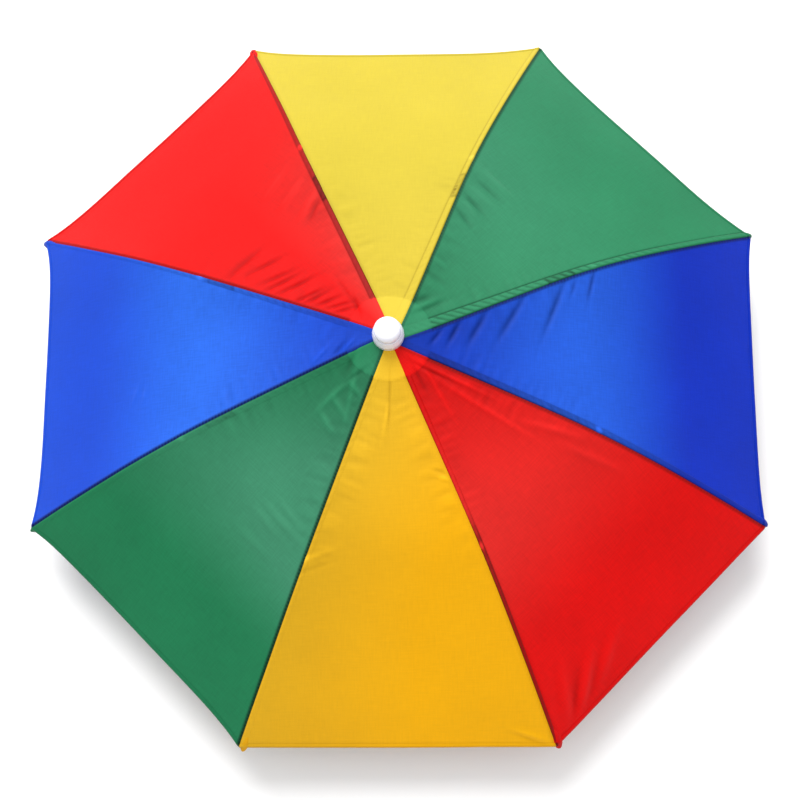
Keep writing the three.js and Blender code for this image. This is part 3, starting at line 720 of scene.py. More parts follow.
def strip_relief(seam, inside, wide, along, lumps):
    """Height, tone and stitches of the cloth at a distance inside the clockwise seam, with painted shade."""
    out = along / TIP_RADIUS
    on_strip = fading(inside, wide - EDGE_INSIDE, wide + EDGE_OUTSIDE)
    line = bell(inside, wide + LINE_HALF / 3, LINE_HALF)
    fold = fading(inside, 0, FOLD_WIDE)
    wave = np.sin(TURN * (along + PUCKER_SLANT * inside) / PUCKER_PITCH + PUCKER_STRAY * lumps)
    window = smooth(inside, PUCKER_INSIDE / 4, PUCKER_INSIDE) * fading(inside, wide - PUCKER_INSIDE, wide)
    lasting = at_least(PUCKER_LEFT, fading(out, *PUCKER_FADES))
    pucker = seam["pucker"] * wave * window * (0.7 + 0.6 * lumps) * lasting
    rise = STRIP_RISE * at_least(STRIP_LEAST, seam["line"])
    height = rise * on_strip - LINE_DEPTH * seam["line"] * line - (rise + SEAM_DEPTH) * fold
    from_joint = np.abs(out - JOINT_OUT)
    over_joint = fading(from_joint, JOINT_HALF - JOINT_SOFT, JOINT_HALF + JOINT_SOFT)
    joint = (over_joint + bell(from_joint, JOINT_HALF, 0.75 * JOINT_SOFT)) * on_strip * seam["joint"]
    tie = bell(np.hypot(along - seam["tie"] * TIP_RADIUS, inside - TIE_INSIDE * wide), 0, TIE_RADIUS)
    shown = smooth(out - seam["begins"], *STARTS)
    # The fill is partly painted shade on the strip; the puckers get painted light and shade, the fold painted
    # shade.
    tone = seam["fill"] * shown * on_strip + PUCKER_SHADING * pucker
    tone += JOINT_TONE * joint + SEAM_FOLD_SHADE * fold + TIE_TONE * tie
    dotted = 0.5 + 0.5 * np.cos(TURN * along / DOTS_PITCH)
    dotted *= bell(out, DOTS_OUT, DOTS_HALF) ** 2 * bell(inside, DOTS_INSIDE * wide, DOTS_WIDE)
    stitches = seam["line"] * shown * line * (1 - LINE_FADE * smooth(out, *LINE_FADES))
    return height + PUCKER_RISE * pucker + TIE_RISE * tie, tone, stitches + seam["dots"] * dotted


def far_side_relief(seam, inside):
    """Height of a panel where it comes out from under its neighbour's strip, and the painted shadow line
    there.
    """
    return -SEAM_DEPTH * fading(inside, 0, 2 * MM), seam["edge"] * fading(inside, SHADOW_FROM, SHADOW_TO)


# One column of the painted light table, from the crown to the hem.
def painted_light(panel, column, out):
    crown, middle, hem = PAINTED_LIGHT[panel - 1][column]
    return from_table({"out": PAINTED_LIGHT_STEPS, column: [crown, crown, middle, hem, hem]}, column, out)


def hem_relief(inside):
    """Height and tone of the cloth at a distance inside the hem, with painted shade at its line and roll."""
    on_hem = fading(inside, HEM_WIDE - EDGE_INSIDE, HEM_WIDE + EDGE_OUTSIDE)
    line = bell(inside, HEM_WIDE + EDGE_OUTSIDE, 0.5 * MM)
    roll = fading(inside, 0, FOLD_WIDE)
    tone = HEM_TONE * on_hem + HEM_LINE_SHADE * line + HEM_ROLL_SHADE * roll
    return HEM_RISE * on_hem - HEM_LINE * line - HEM_ROLL * roll, tone


print("strip at the crown:", [round(float(strip_wide(rib, 0.1)) / MM, 1) for rib in range(1, RIBS + 1)], "mm")

# %% [markdown]
# ## Panels
#
# A panel could be a subdivided triangle with a cloth simulation, but its seams have to meet its neighbours'
# exactly. A grid in two directions does that: rows run from crown to hem, columns from seam to seam. Columns
# lie close together beside the seams, where the relief is fine, and rows do so at the hem.

# %% Panels
CLOTH = 0.4 * MM
CROWN_HOLE = 6 * MM
PANEL_ROWS = 236
PANEL_COLUMNS = 62
LEFT_COLUMNS = np.array([0, 0.4, 0.8, 1.2, 1.6, 2.0, 2.4, 3.2, 4.5]) * MM
RIGHT_SHARES = np.array([0, 0.07, 0.14, 0.24, 0.38, 0.52, 0.66, 0.79, 0.9, 0.98, 1.06, 1.14, 1.25, 1.5])
HEM_ROWS = np.array([0, 0.3, 0.6, 1.0, 1.5, 2.0, 2.4, 2.8, 3.4]) * MM
PANEL_REACH = TIP_RADIUS * math.cos(STEP / 2)
CORNER_OUT = 1 - TIP_REACH / TIP_RADIUS
COLOURS = ["yellow", "green", "blue", "red"]
# The sizes of the cloth's unevenness, from broad to fine, and the rise of the first and the last. The fine
# one lies beside the seams, and the broad one fades in at these distances from the left and the right seam.
SOFT, LUMP, FINE = 60 * MM, 22 * MM, 6 * MM
SOFT_RISE, FINE_RISE = 0.5 * MM, 0.16 * MM
SOFT_FROM_LEFT, SOFT_FROM_RIGHT = (2 * MM, 14 * MM), (5 * MM, 16 * MM)
# How far the patch's edge wanders and how wide it fades, and what it leaves of the relief, the stitches and
# the painted shadow line beyond the seam.
PATCH_STRAY, PATCH_FADE = 1.2 * MM, 0.5 * MM
PATCH_LEAVES = {"relief": 0.3, "stitch_and_shadow": 0.15, "shadow": 0.6}
# Creases grow shallow towards the hem, which holds the cloth.
CREASE_LEFT, CREASE_FADES = 0.2, (2 * MM, 12 * MM)


def colour_of(panel):
    return COLOURS[(panel - 1) % len(COLOURS)]


def panel_rows():
    hem = 1 - HEM_ROWS[::-1] / PANEL_REACH
    return np.concatenate([np.linspace(CROWN_HOLE / TIP_RADIUS, hem[0], PANEL_ROWS, endpoint=False), hem])


def cloth_base(panel, out, across):
    """The smooth canopy: place, way out and unit vector out of the cloth."""
    bow = (HEM_INSET * HEM_BOWS[panel - 1] / PANEL_REACH) * (1 - np.abs(across) ** HEM_SQUARENESS)
    way = out * (CORNER_OUT - bow)
    start, end = seam_plan(panel - 1, way), seam_plan(panel, way)
    plan = start + (end - start) * (0.5 + across / 2)[..., None]
    drop = SAG * from_table(PANEL_SAG, "drop", way) * (1 - across**2)
    point = np.concatenate([plan, (height_at(way) - drop)[..., None]], -1)
    share = (0.5 + across / 2)[..., None]
    return point, way, outward(rib_way(panel - 1) * (1 - share) + rib_way(panel) * share, way)


def panel_across(panel, rows):
    """Where each row's columns lie, from -1 to 1: the outer ones at fixed distances from the seams."""
    way = rows * CORNER_OUT
    wide = np.linalg.norm(seam_plan(panel, way) - seam_plan(panel - 1, way), axis=-1)[:, None]
    strip = strip_wide(panel, way)[:, None] * RIGHT_SHARES
    squeeze = np.minimum(1, wide / (1.6 * (LEFT_COLUMNS[-1] + strip[:, -1:])))
    left = LEFT_COLUMNS * squeeze
    right = wide - strip[:, ::-1] * squeeze
    share = np.linspace(0, 1, PANEL_COLUMNS + 2)[1:-1]
    middle = left[:, -1:] + (right[:, :1] - left[:, -1:]) * share
    return 2 * np.concatenate([left, middle, right], 1) / wide - 1


def panel_cloth(panel):
    """The panel's points and what rides on them."""
    rows = panel_rows()
    across = panel_across(panel, rows)
    out = np.repeat(rows[:, None], across.shape[1], 1)
    point, way, normal = cloth_base(panel, out, across)
    wide = np.linalg.norm(seam_plan(panel, way) - seam_plan(panel - 1, way), axis=-1)
    from_left, from_right = (1 + across) / 2 * wide, (1 - across) / 2 * wide
    from_crown = np.linalg.norm(point[..., :2] - CROWN - PATCH_OFFSET, axis=-1)
    lumps = unevenness(point, LUMP, panel)
    soft = unevenness(point, SOFT, panel + 40)
    fine = unevenness(point * [1, 1, 0.2], FINE, panel + 80)
    clear = smooth(from_crown - PATCH_RADIUS - PATCH_STRAY * lumps, -PATCH_FADE, PATCH_FADE)
    relief_left, stitch_left, shadow_left = (at_least(least, clear) for least in PATCH_LEAVES.values())
    strip = strip_wide(panel, way)
    right, tone, stitch_and_shadow = strip_relief(SEAMS[panel - 1], from_right, strip, way * TIP_RADIUS, lumps)
    left, shadow = far_side_relief(SEAMS[panel - 2], from_left)
    hem, hem_tone = hem_relief((1 - out) * PANEL_REACH)
    inner = smooth(from_left, *SOFT_FROM_LEFT) * smooth(from_right, *SOFT_FROM_RIGHT)
    off_seams = smooth(from_left, MM, 4 * MM) * smooth(from_right, strip, strip + 2 * MM)
    height = (right + left) * relief_left + hem
    height += FINE_RISE * fine * (1 - inner) * off_seams + SOFT_RISE * soft * inner
    creases = wrinkle_height(panel, way, across) * smooth(from_left, 0.5 * MM, 4 * MM)
    creases += gathers(panel, way * TIP_RADIUS, across * wide / 2, from_left, from_right)
    creases *= at_least(CREASE_LEFT, smooth((1 - out) * PANEL_REACH, *CREASE_FADES))
    height += creases
    height += PATCH_RISE * (1 - clear) * smooth(from_left, 0, MM) * smooth(from_right, 0, MM)
    # Painted light and shade on the creases, from their height.
    tone = tone * relief_left + hem_tone + CREASE_SHADING * creases / MM
    # The painted light table paints each panel paler or deeper from the crown to the hem.
    tone += PATCH_TONES[colour_of(panel)] * (1 - clear) + painted_light(panel, "tone", way)
    threads = np.stack([across * wide / 2, way * TIP_RADIUS, np.zeros_like(way)], -1)
    # The stitches and the painted shadow line beyond the seam ride on one value.
    stitch_and_shadow = np.clip(stitch_and_shadow * stitch_left + shadow * shadow_left, 0, 1)
    # Painted sheen, stronger towards the clockwise seam where the table says so.
    wash = np.clip(painted_light(panel, "wash", way) + painted_light(panel, "slant", way) * across, 0, 1)
    riders = {"threads": threads, "tone": np.clip(tone, -1, 1), "stitch_and_shadow": stitch_and_shadow, "wash": wash}
    return point + normal * height[..., None], riders


def panel_flat(panel):
    """Width, length and area of the cut: the smooth panel laid out row by row."""
    out = np.linspace(CROWN_HOLE / TIP_RADIUS, 1, 120)
    middle, left, right = (cloth_base(panel, out, np.full_like(out, side))[0] for side in (0, -1, 1))
    wide = np.linalg.norm(right - left, axis=-1)
    step = np.linalg.norm(np.diff(middle, axis=0), axis=-1)
    return float(wide.max()), float(step.sum()), float((step * (wide[1:] + wide[:-1]) / 2).sum())


panels = {}
for number in range(1, RIBS + 1):
    colour = colour_of(number)
    points, riders = panel_cloth(number)
    made = piece(f"cloth_{number}_{colour}", [grid_shape(points, flip=True)], NYLON[colour], CLOTH, **riders)
    stands_for(made, f"panel_{number}_{colour}", SLOTS[colour])
    panels[number] = made
print("panel:", points.shape[:2], "points, flat size", [round(x, 4) for x in panel_flat(1)])

# %% [markdown]
# ## White plastic
#
# The cap is moulded: smooth, a little soft at its edges, faintly uneven where the plastic shrank. The gloss
# comes from the shader's own roughness and the lights.

# %% White plastic
def white_plastic_paint(sheet):
    place = sheet.node("ShaderNodeTexCoord", output=3)
    shrink = place.grain(90.0)
    dust = place.grain(900.0, 4.0)
    return {
        "Base Color": dust.blend((0.8, 0.8, 0.87, 1), (0.83, 0.83, 0.9, 1)),
        "Roughness": 0.24 + dust * 0.12,
        "Coat Weight": 0.15,
        "height": shrink * (0.25 * MM) + dust * (0.01 * MM),
        "relief": 0.5,
    }


WHITE_PLASTIC = finish("white_plastic", white_plastic_paint)

# %% [markdown]
# ## Cap
#
# The cap is turned: a collar that presses the cloth down, a wall that narrows upwards, and a dome that rises
# out of its rim. A lathe needs only the outline, and rounded edges so that the light has something to run
# along. It sits a little off the middle and leans a little, as a pressed-on cap does.

# %% Cap
CAP_SIDES = 96
CROWN_TOP = float(height_at(0))
COLLAR_RADIUS = (CAP_HIGH.x - CAP_LOW.x) / 2
COLLAR_TOP = CROWN_TOP + 4.5 * MM
CAP_TOP_RADIUS = 9 * MM
CAP_OFF_CENTRE = np.array([-0.1, 1.9]) * MM
CAP_LEAN = (-0.03, 0.02)
CAP_ROUNDING = 4.4 * MM
COLLAR_ROUNDING = 1.2 * MM
RIM_ROUNDING = 0.3 * MM
RIM_DROP = 1.9 * MM
GROOVE_DEPTH = 0.35 * MM
SEAT_EDGE = 0.5 * MM


def arc(centre, radius, start, end, steps=8):
    angles = np.radians(np.linspace(start, end, steps))
    return [(centre[0] + radius * math.cos(a), centre[1] + radius * math.sin(a)) for a in angles]


def level_ring(centre, radius, height, angles):
    """A level ring of points. Its radius may differ from point to point."""
    x, y = centre[0] + radius * np.cos(angles), centre[1] + radius * np.sin(angles)
    return np.stack([x, y, np.full(len(angles), height)], -1)


def turned_shape(profile, centre, sides=CAP_SIDES, lean=(0, 0)):
    """A body from its outline, given as radius and height from the bottom round the outside to the top."""
    angles = np.arange(sides) * TURN / sides
    centre, lean, foot = np.array(centre), np.array(lean), profile[0][1]
    return capped(np.array([level_ring(centre + lean * (z - foot), r, z, angles) for r, z in profile]))


def cap_profile():
    seat, top = CAP_LOW.z, CAP_HIGH.z
    collar = (COLLAR_RADIUS - COLLAR_ROUNDING, COLLAR_TOP - COLLAR_ROUNDING)
    rim = (CAP_TOP_RADIUS + RIM_ROUNDING / 3, top - CAP_ROUNDING - RIM_DROP)
    dome = (CAP_TOP_RADIUS - CAP_ROUNDING, top - CAP_ROUNDING)
    return (
        [(COLLAR_RADIUS - SEAT_EDGE, seat), (COLLAR_RADIUS, seat + SEAT_EDGE)]
        + arc(collar, COLLAR_ROUNDING, 0, 15, 4)
        + arc(rim, RIM_ROUNDING, 10, 170, 7)
        + [(CAP_TOP_RADIUS - GROOVE_DEPTH, rim[1] - RIM_ROUNDING)]
        + arc(dome, CAP_ROUNDING, -18, 88, 14)
        + [(0.2 * MM, top)]
    )


cap_shape = turned_shape(cap_profile(), CROWN + CAP_OFF_CENTRE, lean=CAP_LEAN)
cap = piece("cap", [cap_shape], WHITE_PLASTIC)
stands_for(cap, "top_cap", "white_plastic")
print("cap:", len(cap.data.polygons), "faces")

# %% [markdown]
# ## Tip pockets
#
# Each rib ends in a small pocket of the panel's own cloth, sewn shut over the wire. It is a soft finger under
# the panel's corner: wrinkled round the wire, painted with a little shade all over and more at its closed
# end, and washed out by the same painted sheen as its panel's hem. No two are sewn alike, so a table gives
# each one's place and size.

# %% Tip pockets
RIB_DEPTH = 3.0 * MM
RIB_RADIUS = 1.2 * MM
TIP_LENGTH = 14 * MM
TIP_RADII = {"back": [0, 0.05, 0.12, 0.22, 0.4, 0.7, 1], "radius": [0.9, 1.6, 2.1, 2.7, 3.3, 3.2, 2.6]}
# aside is how far a pocket lies anticlockwise of its rib, and reach how far beyond the rib's end, both in
# millimetres. girth is a share of TIP_RADII.
POCKET_COLUMNS = "rib aside girth reach"
POCKET_ROWS = [
    (1, -1.4, 0.8, -0.6),
    (2, -0.7, 1.0, 0.4),
    (3, -0.4, 1.05, -0.6),
    (4, 1.9, 1.15, 0.0),
    (5, 0.3, 1.0, -0.2),
    (6, -1.1, 0.8, -0.2),
    (7, -0.2, 1.1, 0.2),
    (8, 0.4, 1.15, 0.9),
]
POCKETS = rows_of(POCKET_COLUMNS, POCKET_ROWS)
POCKET_DEPTH = 3.3 * MM
POCKET_LUMP, POCKET_UNEVEN = 3.2 * MM, 0.09
# Painted shade: a little over the whole pocket and more towards its closed end.
POCKET_SHADE, CLOSED_END_SHADE = -0.05, -0.25
POCKET_SIDES = 40
POCKET_RINGS = 36


def end_of_tips():
    """The way out where a pocket ends, so that seen from above it reaches the tips' circle."""
    return 1 + (RIB_DEPTH + RIB_RADIUS) * math.sin(math.atan(float(fall_at(1.0)))) / TIP_RADIUS


def side_of(rib):
    way = rib_way(rib)
    return np.array([-way[1], way[0], 0])


def rings_along(centres, side, radii, sides):
    """Rings of points round a path that lies in an upright plane; side is that plane's normal."""
    tangent = np.gradient(centres, axis=0)
    tangent /= np.linalg.norm(tangent, axis=-1, keepdims=True)
    up = np.cross(tangent, side)
    angles = (np.arange(sides) * TURN / sides)[None, :, None]
    radii = np.broadcast_to(np.asarray(radii, float), len(centres))[:, None, None]
    return centres[:, None] + radii * (np.cos(angles) * side + np.sin(angles) * up[:, None])


def pocket(rib):
    row = POCKETS[rib - 1]
    back = np.linspace(1, 0, POCKET_RINGS)
    out = end_of_tips() + (row["reach"] * MM - back * TIP_LENGTH) / TIP_RADIUS
    centres = under_rib(rib, out, np.full_like(out, POCKET_DEPTH)) + row["aside"] * MM * side_of(rib)
    radii = row["girth"] * MM * from_table(TIP_RADII, "radius", back)
    rings = rings_along(centres, side_of(rib), radii, POCKET_SIDES)
    wrinkled = unevenness(rings * [1, 1, 0.6], POCKET_LUMP, rib)
    rings = rings + POCKET_UNEVEN * (rings - centres[:, None]) * wrinkled[..., None]
    around = np.broadcast_to(np.arange(POCKET_SIDES) * TURN / POCKET_SIDES, rings.shape[:2]) * 2 * MM
    along = np.broadcast_to((out * TIP_RADIUS)[:, None], rings.shape[:2])
    tone = np.broadcast_to((POCKET_SHADE + CLOSED_END_SHADE * (1 - back))[:, None], rings.shape[:2])
    threads = np.stack([around, along, np.zeros_like(along)], -1)
    return capped(rings), {"threads": threads, "tone": tone, "wash": painted_light(rib, "wash", np.ones(tone.size))}


for number in range(1, RIBS + 1):
    shape, riders = pocket(number)
    made = piece(f"pocket_{number}", [shape], NYLON[colour_of(number)], **riders)
    stands_for(made, f"tip_{number}", SLOTS[colour_of(number)])

# %% [markdown]
# ## Seam allowances and crown patch
#
# Below the canopy the raw edges show: a doubled ribbon along every seam, cut by hand and a little frayed,
# and a round patch that keeps the hub off the panels. Both follow the underside of the cloth.

# %% Seam allowances and crown patch
UNDER = 1.3 * MM
SEAM_BEFORE = 4.5 * MM
SEAM_AFTER = 1.5 * MM
RIBBON_ROWS = 150
RIBBON_SHARES = np.linspace(0, 1, 7)
FRAY, FRAY_SHARE = 2.5 * MM, 0.1
RIBBON_WAVE = 0.12 * MM
# The ribbon is a little darker all over, and its fold line is painted with shade.
EDGE_TONE, RIBBON_FOLD_SHADE = -0.1, -0.5
PATCH_RINGS = 26
PATCH_SIDES = 160
PATCH_END = 27 * MM
PATCH_FOLDS, PATCH_FOLD_RISE = 24, 0.15 * MM
PATCH_STITCH_TONE = -0.3


def ribbon(rib):
    out = np.linspace(PATCH_END / TIP_RADIUS + 0.003, end_of_tips() - 0.06, RIBBON_ROWS)
    frayed = unevenness(np.stack([out * TIP_RADIUS, out * 0, out * 0], -1), FRAY, rib + 9)
    reach = SEAM_BEFORE * (1 + FRAY_SHARE * frayed) + SEAM_AFTER
    offset = RIBBON_SHARES * reach[:, None] - SEAM_AFTER
    plan = seam_plan(rib, out)[:, None] + side_of(rib)[:2] * offset[..., None]
    near = np.abs(offset) / (out[:, None] * TIP_RADIUS * math.sin(STEP / 2))
    drop = SAG * from_table(PANEL_SAG, "drop", out)[:, None] * (1 - (1 - near) ** 2)
    level = height_at(out)[:, None] - drop
    wave = RIBBON_WAVE * np.sin(TURN * out * TIP_RADIUS / PUCKER_PITCH)[:, None]
    ways = np.broadcast_to(rib_way(rib), out.shape + (2,))
    top = np.concatenate([plan, (level + wave)[..., None]], -1) - UNDER * outward(ways, out)[:, None]
    along = np.broadcast_to((out * TIP_RADIUS)[:, None], offset.shape)
    tone = np.where(RIBBON_SHARES == 0.5, RIBBON_FOLD_SHADE, EDGE_TONE) * np.ones_like(offset)
    return top, {"threads": np.stack([offset, along, np.zeros_like(along)], -1), "tone": tone}


for number in range(1, RIBS + 1):
    points, riders = ribbon(number)
    made = piece(f"ribbon_{number}", [grid_shape(points)], NYLON[colour_of(number)], CLOTH, **riders)
    stands_for(made, f"seam_{number}", SLOTS[colour_of(number)])


def crown_patch():
    radius = np.linspace(CROWN_HOLE, PATCH_END, PATCH_RINGS)[:, None]
    angle = (np.arange(PATCH_SIDES) * TURN / PATCH_SIDES)[None]
    plan = CROWN + np.stack([radius * np.cos(angle), radius * np.sin(angle)], -1)
    sector = np.mod((TURN / 4 + STEP / 2 - angle) / STEP, 1) * 2 - 1
    out = radius / TIP_RADIUS * np.ones_like(angle)
    drop = SAG * from_table(PANEL_SAG, "drop", out) * (1 - sector**2) * np.ones_like(out)
    folds = PATCH_FOLD_RISE * np.sin(PATCH_FOLDS * angle) * smooth(radius, 9 * MM, 20 * MM)
    points = np.concatenate([plan, (height_at(out) - drop - UNDER + folds)[..., None]], -1)
    threads = np.stack([plan[..., 0], plan[..., 1], np.zeros_like(out)], -1)
    tone = PATCH_STITCH_TONE * bell(radius, PATCH_END - 2 * MM, 0.6 * MM) * np.ones_like(angle)
    return points, {"threads": threads, "tone": tone}


points, riders = crown_patch()
lining = piece("lining", [grid_shape(points, wrap=True)], NYLON["white"], CLOTH, **riders)
stands_for(lining, "crown_patch", SLOTS["white"])

# %% [markdown]
# ## Steel
#
# The ribs and stretchers are drawn wire, plated. Drawing leaves fine lines along the wire, and the plating
# is a little cloudy. A touch of rust at every end would age it too much for a hat that looks new.

# %% Steel
def steel_paint(sheet):
    place = sheet.node("ShaderNodeTexCoord", output=3)
    cloud = place.grain(60.0, 3.0)
    lines = place.grain(1500.0)
    return {
        "Base Color": cloud.blend((0.5, 0.51, 0.53, 1), (0.66, 0.67, 0.69, 1)),
        "Metallic": 1.0,
        "Roughness": 0.26 + lines * 0.14,
        "height": lines * (0.02 * MM),
        "relief": 0.4,
    }


STEEL = finish("plated_steel", steel_paint)

# %% [markdown]
# ## Ribs and stretchers
#
# A rib is a wire with a joint in a stamped sleeve, where a rivet lets it fold. A stretcher is a straight wire
# from the runner to that sleeve. Both are rings of points along a path; only the radius changes.

# %% Ribs and stretchers
SLEEVE_OUT = 0.45
SLEEVE_LENGTH = 20 * MM
SLEEVE_RADIUS = 2 * MM
SLOT_FLOOR = 6.5 * MM
ROD_SIDES = 20
WIRE_RINGS, SLEEVE_RINGS, STRETCHER_RINGS = 90, 24, 38
RIVET_RADIUS = 1.1 * MM
RIVET_SIDES = 16
RIVET = {"reach": [-1.25, -1.2, -1, 1, 1.2, 1.25], "radius": [0.5, 0.95, 1, 1, 0.95, 0.5]}
STRETCHER_RADIUS = 1 * MM
HEAD_ROOM = 100 * MM
RUNNER_HEIGHT = 14 * MM
RUNNER_FLANGE = 5 * MM
GAP = 0.3 * MM


def rib_shapes(rib):
    half = SLEEVE_LENGTH / 2 / TIP_RADIUS
    inner = (SLOT_FLOOR + GAP) / TIP_RADIUS + 0.003
    outer = end_of_tips() - (1.6 * MM) / TIP_RADIUS
    out = np.linspace(inner, outer, WIRE_RINGS)
    middle = under_rib(rib, out, np.full_like(out, RIB_DEPTH + RIB_RADIUS))
    wire = rings_along(middle, side_of(rib), RIB_RADIUS, ROD_SIDES)
    along = np.linspace(SLEEVE_OUT - half, SLEEVE_OUT + half, SLEEVE_RINGS)
    share = np.abs(along - SLEEVE_OUT) / half
    radii = SLEEVE_RADIUS * (1 - 0.18 * smooth(share, 0.82, 1) - 0.08 * bell(share, 0.45, 0.08))
    depth = np.full_like(along, RIB_DEPTH + SLEEVE_RADIUS)
    sleeve = rings_along(under_rib(rib, along, depth), side_of(rib), radii, ROD_SIDES)
    heart = under_rib(rib, SLEEVE_OUT, RIB_DEPTH + SLEEVE_RADIUS)
    reach = np.array(RIVET["reach"])[:, None] * SLEEVE_RADIUS
    radii = np.array(RIVET["radius"])[:, None, None] * RIVET_RADIUS
    up = np.array([0, 0, 1.0])
    way = np.append(rib_way(rib), 0)
    angles = (np.arange(RIVET_SIDES) * TURN / RIVET_SIDES)[:, None]
    rivet = heart + (reach * side_of(rib))[:, None] + radii * (np.cos(angles) * up - np.sin(angles) * way)
    return [capped(wire), capped(sleeve), capped(rivet)]


def stretcher_shape(rib):
    way = rib_way(rib)
    start = np.append(CROWN + way * (SLOT_FLOOR + GAP), HEAD_ROOM + RUNNER_HEIGHT - RUNNER_FLANGE / 2)
    end = under_rib(rib, SLEEVE_OUT, RIB_DEPTH + 2 * SLEEVE_RADIUS + GAP + STRETCHER_RADIUS)
    centres = start + (end - start) * np.linspace(0, 1, STRETCHER_RINGS)[:, None]
    return capped(rings_along(centres, side_of(rib), STRETCHER_RADIUS, ROD_SIDES))


for number in range(1, RIBS + 1):
    rib = piece(f"wire_{number}", rib_shapes(number), STEEL)
    stands_for(rib, f"rib_{number}", "steel")
    stretcher = piece(f"strut_{number}", [stretcher_shape(number)], STEEL)
    stands_for(stretcher, f"stretcher_{number}", "steel")
print("ribs and stretchers:", 2 * RIBS)

# %% [markdown]
# ## Hub, runner and post
#
# Below the cap a notched disc takes the ribs, and a spool lower down takes the stretchers and the arms. Each
# is turned, with slots: in a slot the outline is simply cut back to the slot's floor.

# %% Hub, runner and post
HUB_RADIUS = 12 * MM
HUB_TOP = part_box("top_hub")[1][2]
HUB_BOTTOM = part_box("top_hub")[0][2]
RUNNER_RADIUS = 13 * MM
WAIST_RADIUS = 9 * MM
POST_RADIUS = 3.5 * MM
BORE_RADIUS = 3.8 * MM
ARMS = 4
ARM_WIDTH = 9 * MM
EDGE = 0.5 * MM
SLOT_SIDES = 640


def slotted(rows, slots):
    """A turned body, cut back in its slots. A row is a radius, a height and the name of its slots."""
    angles = np.arange(SLOT_SIDES) * TURN / SLOT_SIDES
    rings = []
    for radius, height, kind in rows:
        r = np.full(SLOT_SIDES, float(radius))
        if kind:
            middles, half, floor_radius = slots[kind]
            for middle in middles:
                off = np.abs(np.sin(angles - middle)) * radius
                r[(off < half) & (np.cos(angles - middle) > 0)] = min(radius, floor_radius)
        rings.append(level_ring(CROWN, r, height, angles))
    return grid_shape(np.array(rings), wrap=True, closed=True)


rib_angles = [math.atan2(rib_way(rib)[1], rib_way(rib)[0]) for rib in range(1, RIBS + 1)]
arm_angles = [arm * TURN / ARMS for arm in range(ARMS)]
SLOTS_OF = {
    "ribs": (rib_angles, RIB_RADIUS + GAP, SLOT_FLOOR),
    "rods": (rib_angles, STRETCHER_RADIUS + GAP, SLOT_FLOOR),
    "arms": (arm_angles, ARM_WIDTH / 2 + GAP, WAIST_RADIUS),
}
slot_floor = float(height_at(HUB_RADIUS / TIP_RADIUS)) - RIB_DEPTH - 2 * RIB_RADIUS - 2 * GAP
hub_rows = [
    (BORE_RADIUS, HUB_TOP - 1.2 * MM, None),
    (BORE_RADIUS, HUB_BOTTOM, None),
    (HUB_RADIUS - EDGE, HUB_BOTTOM, None),
    (HUB_RADIUS - 0.15 * MM, HUB_BOTTOM + 0.15 * MM, None),
    (HUB_RADIUS, HUB_BOTTOM + EDGE, None),
    (HUB_RADIUS, slot_floor, None),
    (HUB_RADIUS, slot_floor, "ribs"),
    (HUB_RADIUS, HUB_TOP - 2.6 * MM, "ribs"),
    (HUB_RADIUS - EDGE, HUB_TOP - 2.1 * MM, "ribs"),
    (SLOT_FLOOR, HUB_TOP - 1.4 * MM, None),
]
top = HEAD_ROOM + RUNNER_HEIGHT
rod_floor = top - RUNNER_FLANGE / 2 - STRETCHER_RADIUS - 2 * GAP
runner_rows = [
    (BORE_RADIUS, top, None),
    (BORE_RADIUS, HEAD_ROOM, None),
    (WAIST_RADIUS, HEAD_ROOM, None),
    (RUNNER_RADIUS - EDGE, HEAD_ROOM, "arms"),
    (RUNNER_RADIUS, HEAD_ROOM + EDGE, "arms"),
    (RUNNER_RADIUS, HEAD_ROOM + RUNNER_FLANGE - EDGE, "arms"),
    (RUNNER_RADIUS - EDGE, HEAD_ROOM + RUNNER_FLANGE, "arms"),
    (WAIST_RADIUS + EDGE, HEAD_ROOM + RUNNER_FLANGE, None),
    (WAIST_RADIUS, HEAD_ROOM + RUNNER_FLANGE + EDGE, None),
    (WAIST_RADIUS, top - RUNNER_FLANGE - EDGE, None),
    (WAIST_RADIUS + EDGE, top - RUNNER_FLANGE, None),
    (RUNNER_RADIUS - EDGE, top - RUNNER_FLANGE, None),
    (RUNNER_RADIUS, top - RUNNER_FLANGE + EDGE, None),
    (RUNNER_RADIUS, rod_floor, None),
    (RUNNER_RADIUS, rod_floor, "rods"),
    (RUNNER_RADIUS, top - EDGE, "rods"),
    (RUNNER_RADIUS - EDGE, top, "rods"),
    (SLOT_FLOOR, top, None),
]
hub = piece("notched_hub", [slotted(hub_rows, SLOTS_OF)], WHITE_PLASTIC)
stands_for(hub, "top_hub", "white_plastic")
runner = piece("spool", [slotted(runner_rows, SLOTS_OF)], WHITE_PLASTIC)
stands_for(runner, "runner", "white_plastic")
for made in (hub, runner):
    crisp = made.modifiers.new("crisp_edges", "EDGE_SPLIT")
    crisp.split_angle = math.radians(30)
post_low, post_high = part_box("post")
post_rows = [
    (POST_RADIUS - EDGE, post_low[2]),
    (POST_RADIUS, post_low[2] + EDGE),
    (POST_RADIUS, post_high[2] - EDGE),
    (POST_RADIUS - EDGE, post_high[2]),
]
post = piece("tube", [turned_shape(post_rows, CROWN, 48)], STEEL)
stands_for(post, "post", "steel")
print("hub and runner:", len(hub.data.polygons), len(runner.data.polygons), "faces")

# %% [markdown]
# ## Arms
#
# The four arms are moulded strips that spring out of the runner, curve down to the band and hook over its
# edge. A strip is a rounded rectangle swept along its middle line, once for the arm and once for the hook.

